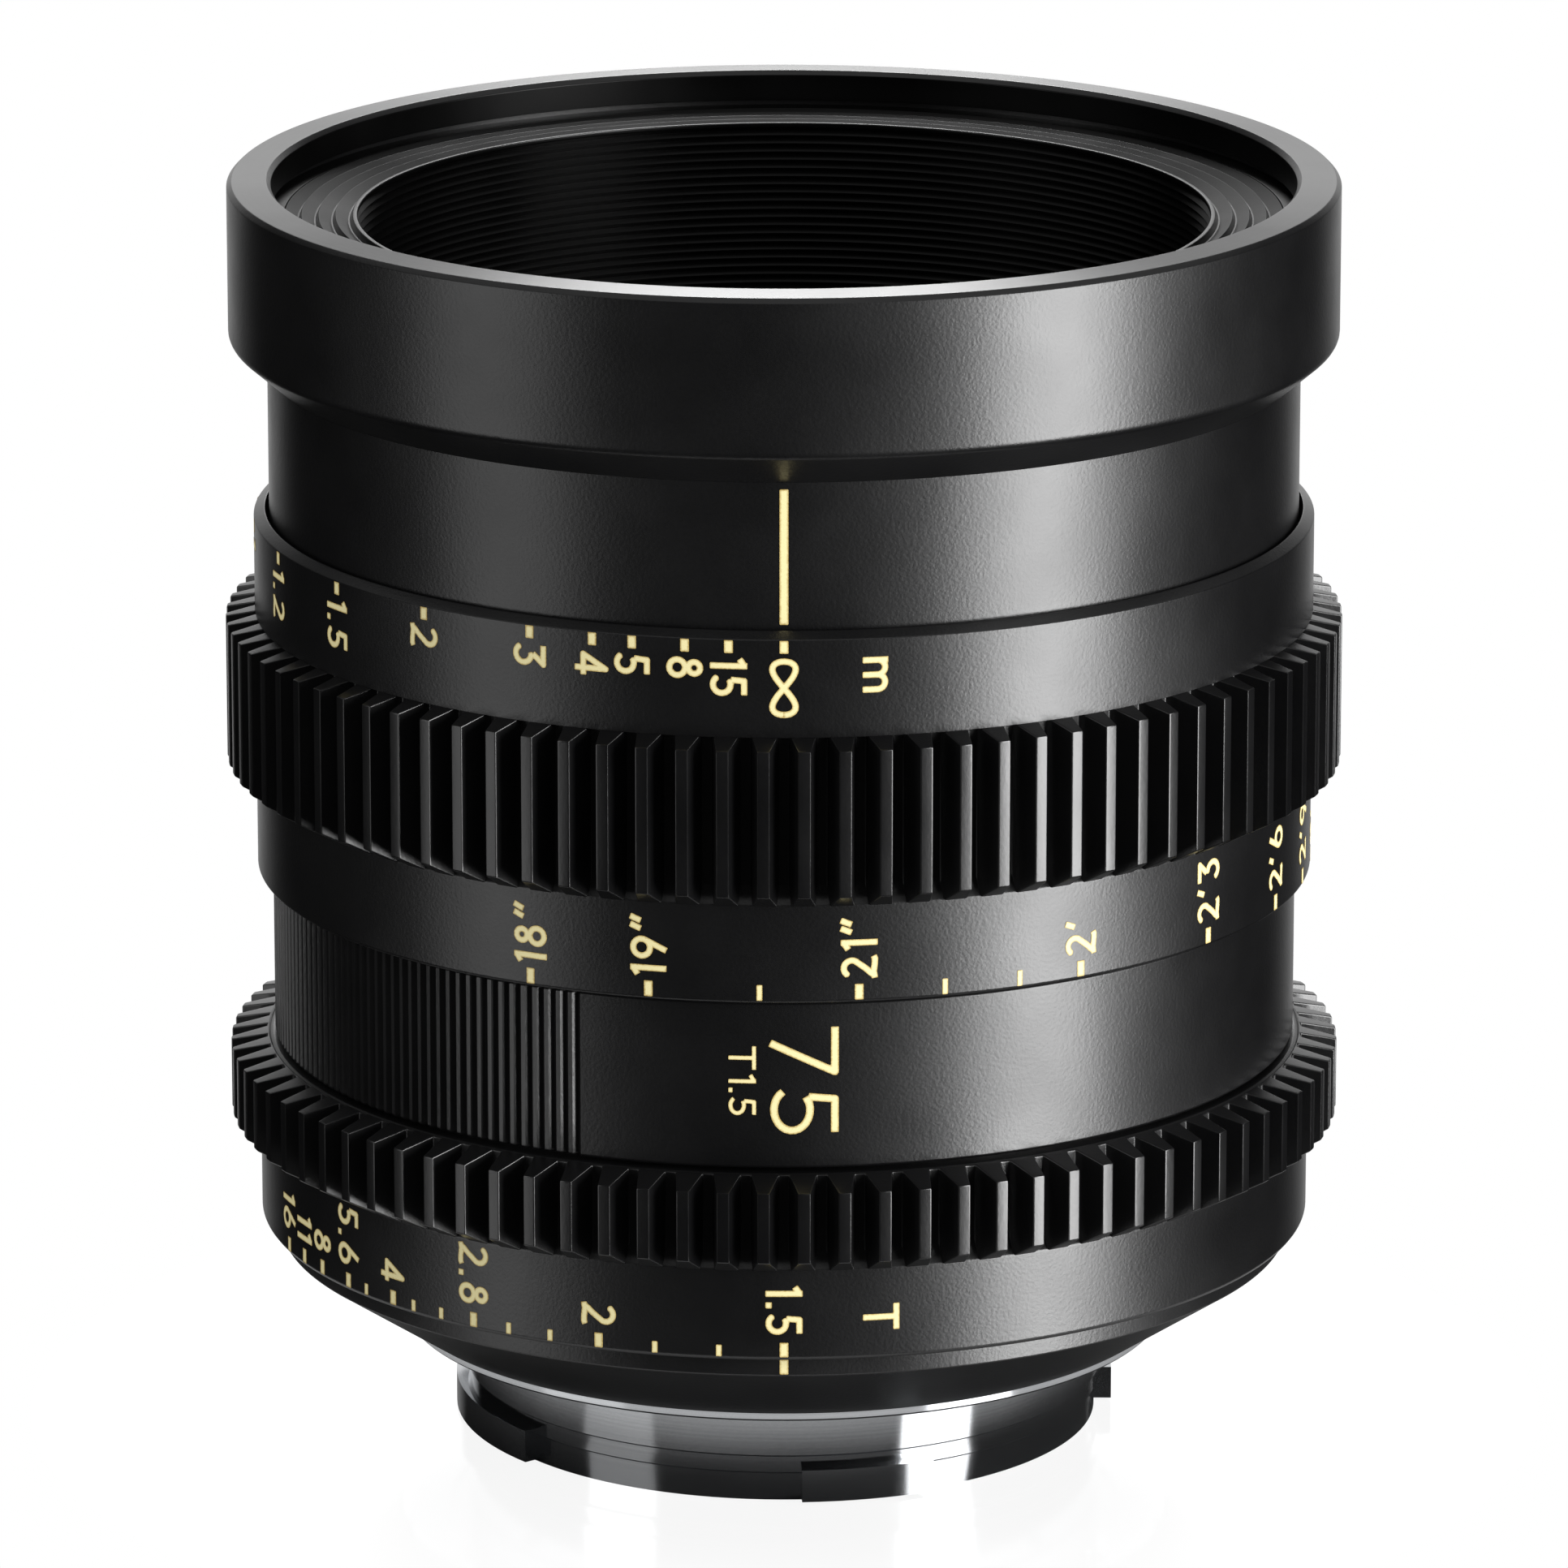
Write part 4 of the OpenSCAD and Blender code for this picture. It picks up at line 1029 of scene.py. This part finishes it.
@dataclass
class FixedBody(Assembly):
    """The fixed outside: ribbed sleeve with numerals, index ring and tail cone."""

    sleeve_r: float = 33.5
    sleeve_bore_r: float = 32.15
    sleeve_low: float = 19.55
    sleeve_high: float = 30.45
    rib_arc: float = 134.0
    rib_pitch: float = 1.44
    rib_depth: float = 0.3
    rib_share: float = 0.31
    rib_columns: int = 12
    plain_columns: int = 200
    index_r: float = 33.3
    index_low: float = 5.7
    index_high: float = 6.9
    index_bore_r: float = 30.99
    flange_r: float = 25.3
    tail_low: float = 0.6

    def groove(self, r: float, angle: float) -> float:
        """Gives the depth of the grip grooves at a place.

        Args:
            r: Radius of the point in millimetres.
            angle: Angle round the axis in radians.

        Returns:
            Depth to take off the radius.
        """
        if r < self.sleeve_r - self.rib_depth:
            return 0.0
        count = math.floor(self.rib_arc / self.rib_pitch)
        offset = (math.degrees(angle) - 180) / self.rib_pitch + count / 2
        nearest = round(offset)
        if not 0 <= nearest <= count:
            return 0.0
        away = abs(offset - nearest) / self.rib_share
        return self.rib_depth * max(0.0, 1 - away) ** 0.9

    def sleeve(self) -> bpy.types.Object:
        """Builds the sleeve with its grip ribs.

        Returns:
            The sleeve.
        """
        fine = self.rib_pitch / self.rib_columns
        count = math.floor(self.rib_arc / self.rib_pitch)
        first = 180 - (count / 2 + 0.5) * self.rib_pitch
        ribs = [first + k * fine for k in range((count + 1) * self.rib_columns + 1)]
        rest = np.linspace(ribs[-1], first + 360, self.plain_columns)[1:-1]
        angles = [math.radians(a) for a in (*ribs, *rest)]
        edge = 0.15
        return lathe("ribbed_sleeve", rounded([
            (self.sleeve_bore_r, self.sleeve_low, 0), (self.sleeve_r - edge, self.sleeve_low, 0.05),
            (self.sleeve_r, self.sleeve_low + edge, 0.08),
            (self.sleeve_r, self.sleeve_high - edge, 0.08),
            (self.sleeve_r - edge, self.sleeve_high, 0.05),
            (self.sleeve_bore_r, self.sleeve_high, 0),
        ]), angles, self.groove)

    def tail(self) -> bpy.types.Object:
        """Builds the tail cone with the spigot that holds the index ring.

        Returns:
            The tail cone.
        """
        spigot_r, spigot_bore_r, hub_r, floor_z = 30.94, 29.04, 22.35, 4.4
        return lathe("tail_cone", rounded([
            (hub_r, self.tail_low, 0), (self.flange_r + 0.2, self.tail_low, 0.08),
            (self.index_r - 0.1, self.index_low, 0.08), (spigot_r, self.index_low, 0),
            (spigot_r, self.index_low + 2.7, 0.1), (spigot_bore_r, self.index_low + 2.7, 0.1),
            (spigot_bore_r, floor_z, 0), (hub_r, floor_z, 0),
        ]))

    def build(self) -> None:
        """Builds and dresses the fixed outside."""
        self.place(self.sleeve(), BLACK_BARREL, "black_anodised", "mid_sleeve")
        index = lathe("index_band", rounded([
            (self.index_bore_r, self.index_low, 0), (self.index_r, self.index_low, 0.14),
            (self.index_r, self.index_high, 0.06), (self.index_bore_r, self.index_high, 0),
        ]))
        self.place(index, BLACK_BARREL, "black_anodised", "index_ring")
        self.place(self.tail(), BLACK_BARREL, "black_anodised", "rear_housing")
        Engraving("sleeve_numerals", self.sleeve_r, self.body, [
            Label("75", 2.2, 28.86, cap=4.34, stroke=0.5, gap=0.68, length=7.14),
            Label("T1.5", -4.5, 27.6, cap=1.76, stroke=0.27, gap=0.27, length=4.6),
            Tick(180.0, 26.2, 29.9),
        ]).build()
        Engraving("index_dash", self.index_r, self.body, [Tick(0.0, 5.84, 6.84)]).build()


@dataclass
class Carried:
    """Nodes of the construction that keep their shape and get a finish."""

    dress: dict = field(default_factory=lambda: {
        CHROME: ("bayonet_mount",),
        BAFFLE_BLACK: ("rear_baffle",),
        CELL_BLACK: (
            "front_cell", "rear_cell", "element_1_ring", "element_2_ring", "element_3_ring",
            "element_4_ring", "element_5_ring", "focus_retaining_ring", "guide_barrel",
            "main_barrel", "iris_coupling_ring",
        ),
        BRASS: ("cam_rollers", "cam_sleeve", "iris_actuator"),
        STEEL: ("roller_screws", "focus_drive_screws", "iris_drive_pin", "mount_screws"),
        SLIP_WASHER: ("thrust_washer",),
        BLADE_STEEL: tuple(f"iris_blade_{i}" for i in range(1, 11)),
        CROWN: ("element_1", "element_2", "element_3_crown", "element_4_crown", "element_5"),
        FLINT: ("element_3_flint", "element_4_flint"),
    })

    def break_edges(self, name: str, width: float) -> None:
        """Breaks the sharp edges of a node, so that they catch the light.

        Args:
            name: Name of the node.
            width: Width of the broken edge in millimetres.
        """
        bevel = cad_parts[name].modifiers.new("broken_edges", "BEVEL")
        bevel.width, bevel.segments = width * MM, 2
        bevel.limit_method, bevel.angle_limit = "ANGLE", math.radians(30)
        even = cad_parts[name].modifiers.new("even_normals", "WEIGHTED_NORMAL")
        even.keep_sharp = True

    def build(self) -> None:
        """Gives each node its finish and smooth shading between sharp edges."""
        for finish, names in self.dress.items():
            for name in names:
                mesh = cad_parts[name].data
                mesh.materials.clear()
                mesh.materials.append(finish.material())
                mesh.polygons.foreach_set("use_smooth", [True] * len(mesh.polygons))
                mesh.set_sharp_from_angle(angle=math.radians(28))
                LOG.info("%s dressed as %s", name, finish.name)
        self.break_edges("bayonet_mount", 0.12)


# Studio


@dataclass
class Studio:
    """A small white table, three soft lights, a white wall behind and the camera."""

    table_z: float = -6.9
    table_r: float = 50.0
    lens: float = 254.49
    camera_at: tuple = (0.0, -0.70092, 0.22732)
    camera_tilt: float = 74.6965

    def strip(
        self, name: str, azimuth: float, size: Point, watts: float, reach: float = 0.85,
        height: float = 0.0
    ) -> None:
        """Hangs a strip light that faces the lens.

        Args:
            name: Name of the light.
            azimuth: Degrees to the right of the camera, seen from the lens.
            size: Width and height in metres.
            watts: Power of the light.
            reach: Distance from the lens in metres.
            height: Height of its middle above the flange in metres.
        """
        data = bpy.data.lights.new(name, "AREA")
        data.shape, data.size, data.size_y, data.energy = "RECTANGLE", *size, watts
        lamp = bpy.data.objects.new(name, data)
        bpy.context.scene.collection.objects.link(lamp)
        turn = math.radians(azimuth)
        lamp.location = (reach * math.sin(turn), -reach * math.cos(turn), height)
        down = math.atan2(height - 0.035, reach)
        lamp.rotation_euler = (math.pi / 2 - down, 0.0, turn)

    def table(self) -> None:
        """Lays the pale table top, white to the eye, with a painted shadow under the lens."""
        count = 96
        rim = [on_ring(self.table_r, k * 2 * math.pi / count, self.table_z) for k in range(count)]
        mesh = bpy.data.meshes.new("table_top")
        mesh.from_pydata([[c * MM for c in p] for p in rim], [], [list(range(count))])
        top = bpy.data.objects.new("table_top", mesh)
        bpy.context.scene.collection.objects.link(top)
        # Back-painted glass, polished: white to the camera, and a mirror at low angles. The
        # grey of its own keeps the chrome above it from turning milky.
        made, tree, shader = blank_material("white_glass_polished")
        shader.inputs["Base Color"].default_value = linear("#4c4c4c")
        shader.inputs["Roughness"].default_value = 0.1
        shader.inputs["IOR"].default_value = 1.8
        shader.inputs["Emission Color"].default_value = (1, 1, 1, 1)
        rays = add_node(tree, "ShaderNodeLightPath").outputs
        # Painted shadow: ambient occlusion dims the glow under the lens, faintly for the camera and
        # deeply in reflections.
        shade = add_node(tree, "ShaderNodeAmbientOcclusion", {"Distance": 0.05}, samples=8)
        painted_shadow_mask = add_node(
            tree, "ShaderNodeMapRange", {0: shade.outputs["AO"], 1: 0.45, 2: 0.95, 3: 0.0, 4: 1.0})
        direct = add_node(
            tree, "ShaderNodeMapRange", {0: painted_shadow_mask.outputs[0], 3: 0.9, 4: 1.0})
        mirrored = add_node(
            tree, "ShaderNodeMath",
            {0: rays["Is Glossy Ray"], 1: rays["Is Transmission Ray"]}, operation="MAXIMUM")
        glow = add_node(
            tree, "ShaderNodeMath",
            {0: rays["Is Camera Ray"], 1: direct.outputs[0]}, operation="MULTIPLY")
        glow = add_node(
            tree, "ShaderNodeMath",
            {0: mirrored.outputs[0], 1: painted_shadow_mask.outputs[0], 2: glow.outputs[0]},
            operation="MULTIPLY_ADD")
        tree.links.new(glow.outputs[0], shader.inputs["Emission Strength"])
        mesh.materials.append(made)

    def world(self) -> None:
        """Sets a white wall behind the lens, a grey ceiling and a dark room in front."""
        scene = bpy.context.scene
        scene.world = bpy.data.worlds.new("studio")
        scene.world.use_nodes = True
        tree = scene.world.node_tree
        out = tree.nodes["Background"]
        way = add_node(
            tree, "ShaderNodeSeparateXYZ",
            {0: add_node(tree, "ShaderNodeTexCoord").outputs["Generated"]}).outputs
        wall = add_node(
            tree, "ShaderNodeMapRange", {0: way["Y"], 1: 0.84, 2: 0.96, 3: 0.004, 4: 1.0})
        ceiling = add_node(
            tree, "ShaderNodeMapRange", {0: way["Z"], 1: 0.5, 2: 0.72, 3: 0.0, 4: 0.3})
        room = add_node(
            tree, "ShaderNodeMath",
            {0: wall.outputs[0], 1: ceiling.outputs[0]}, operation="MAXIMUM")
        rays = add_node(tree, "ShaderNodeLightPath").outputs
        shine = add_node(
            tree, "ShaderNodeMath",
            {0: rays["Is Glossy Ray"], 1: rays["Is Transmission Ray"]}, operation="MAXIMUM")
        soft = add_node(
            tree, "ShaderNodeMix",
            {0: shine.outputs[0], 2: 0.5, 3: room.outputs[0]}, data_type="FLOAT")
        light = add_node(
            tree, "ShaderNodeMath",
            {0: soft.outputs[0], 1: rays["Is Camera Ray"]}, operation="MAXIMUM")
        out.inputs["Color"].default_value = (1, 1, 1, 1)
        tree.links.new(light.outputs[0], out.inputs["Strength"])

    def build(self) -> None:
        """Builds the table, the lights, the world and the camera."""
        scene = bpy.context.scene
        scene.view_settings.view_transform = "Standard"
        self.table()
        self.world()
        self.strip("key_strip", 57.0, (0.42, 0.8), 10.6, height=0.03)
        self.strip("left_strip", -62.0, (0.42, 0.8), 1.2, height=0.03)
        self.strip("back_light", 180.0, (0.22, 0.3), 4.2, height=0.72)
        data = bpy.data.cameras.new("camera")
        data.lens, data.sensor_width = self.lens, 36.0
        camera = bpy.data.objects.new("camera", data)
        scene.collection.objects.link(camera)
        camera.location = self.camera_at
        camera.rotation_euler = (math.radians(self.camera_tilt), 0.0, 0.0)
        scene.camera = camera
        LOG.info("studio ready")


def main() -> None:
    """Builds the lens and its studio."""
    logging.basicConfig(level=logging.INFO, format="%(name)s: %(message)s")
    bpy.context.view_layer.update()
    for part in (FrontUnit(), FocusDrive(), IrisDrive(), FixedBody(), Carried(), Studio()):
        part.build()


if __name__ == "__main__":
    main()
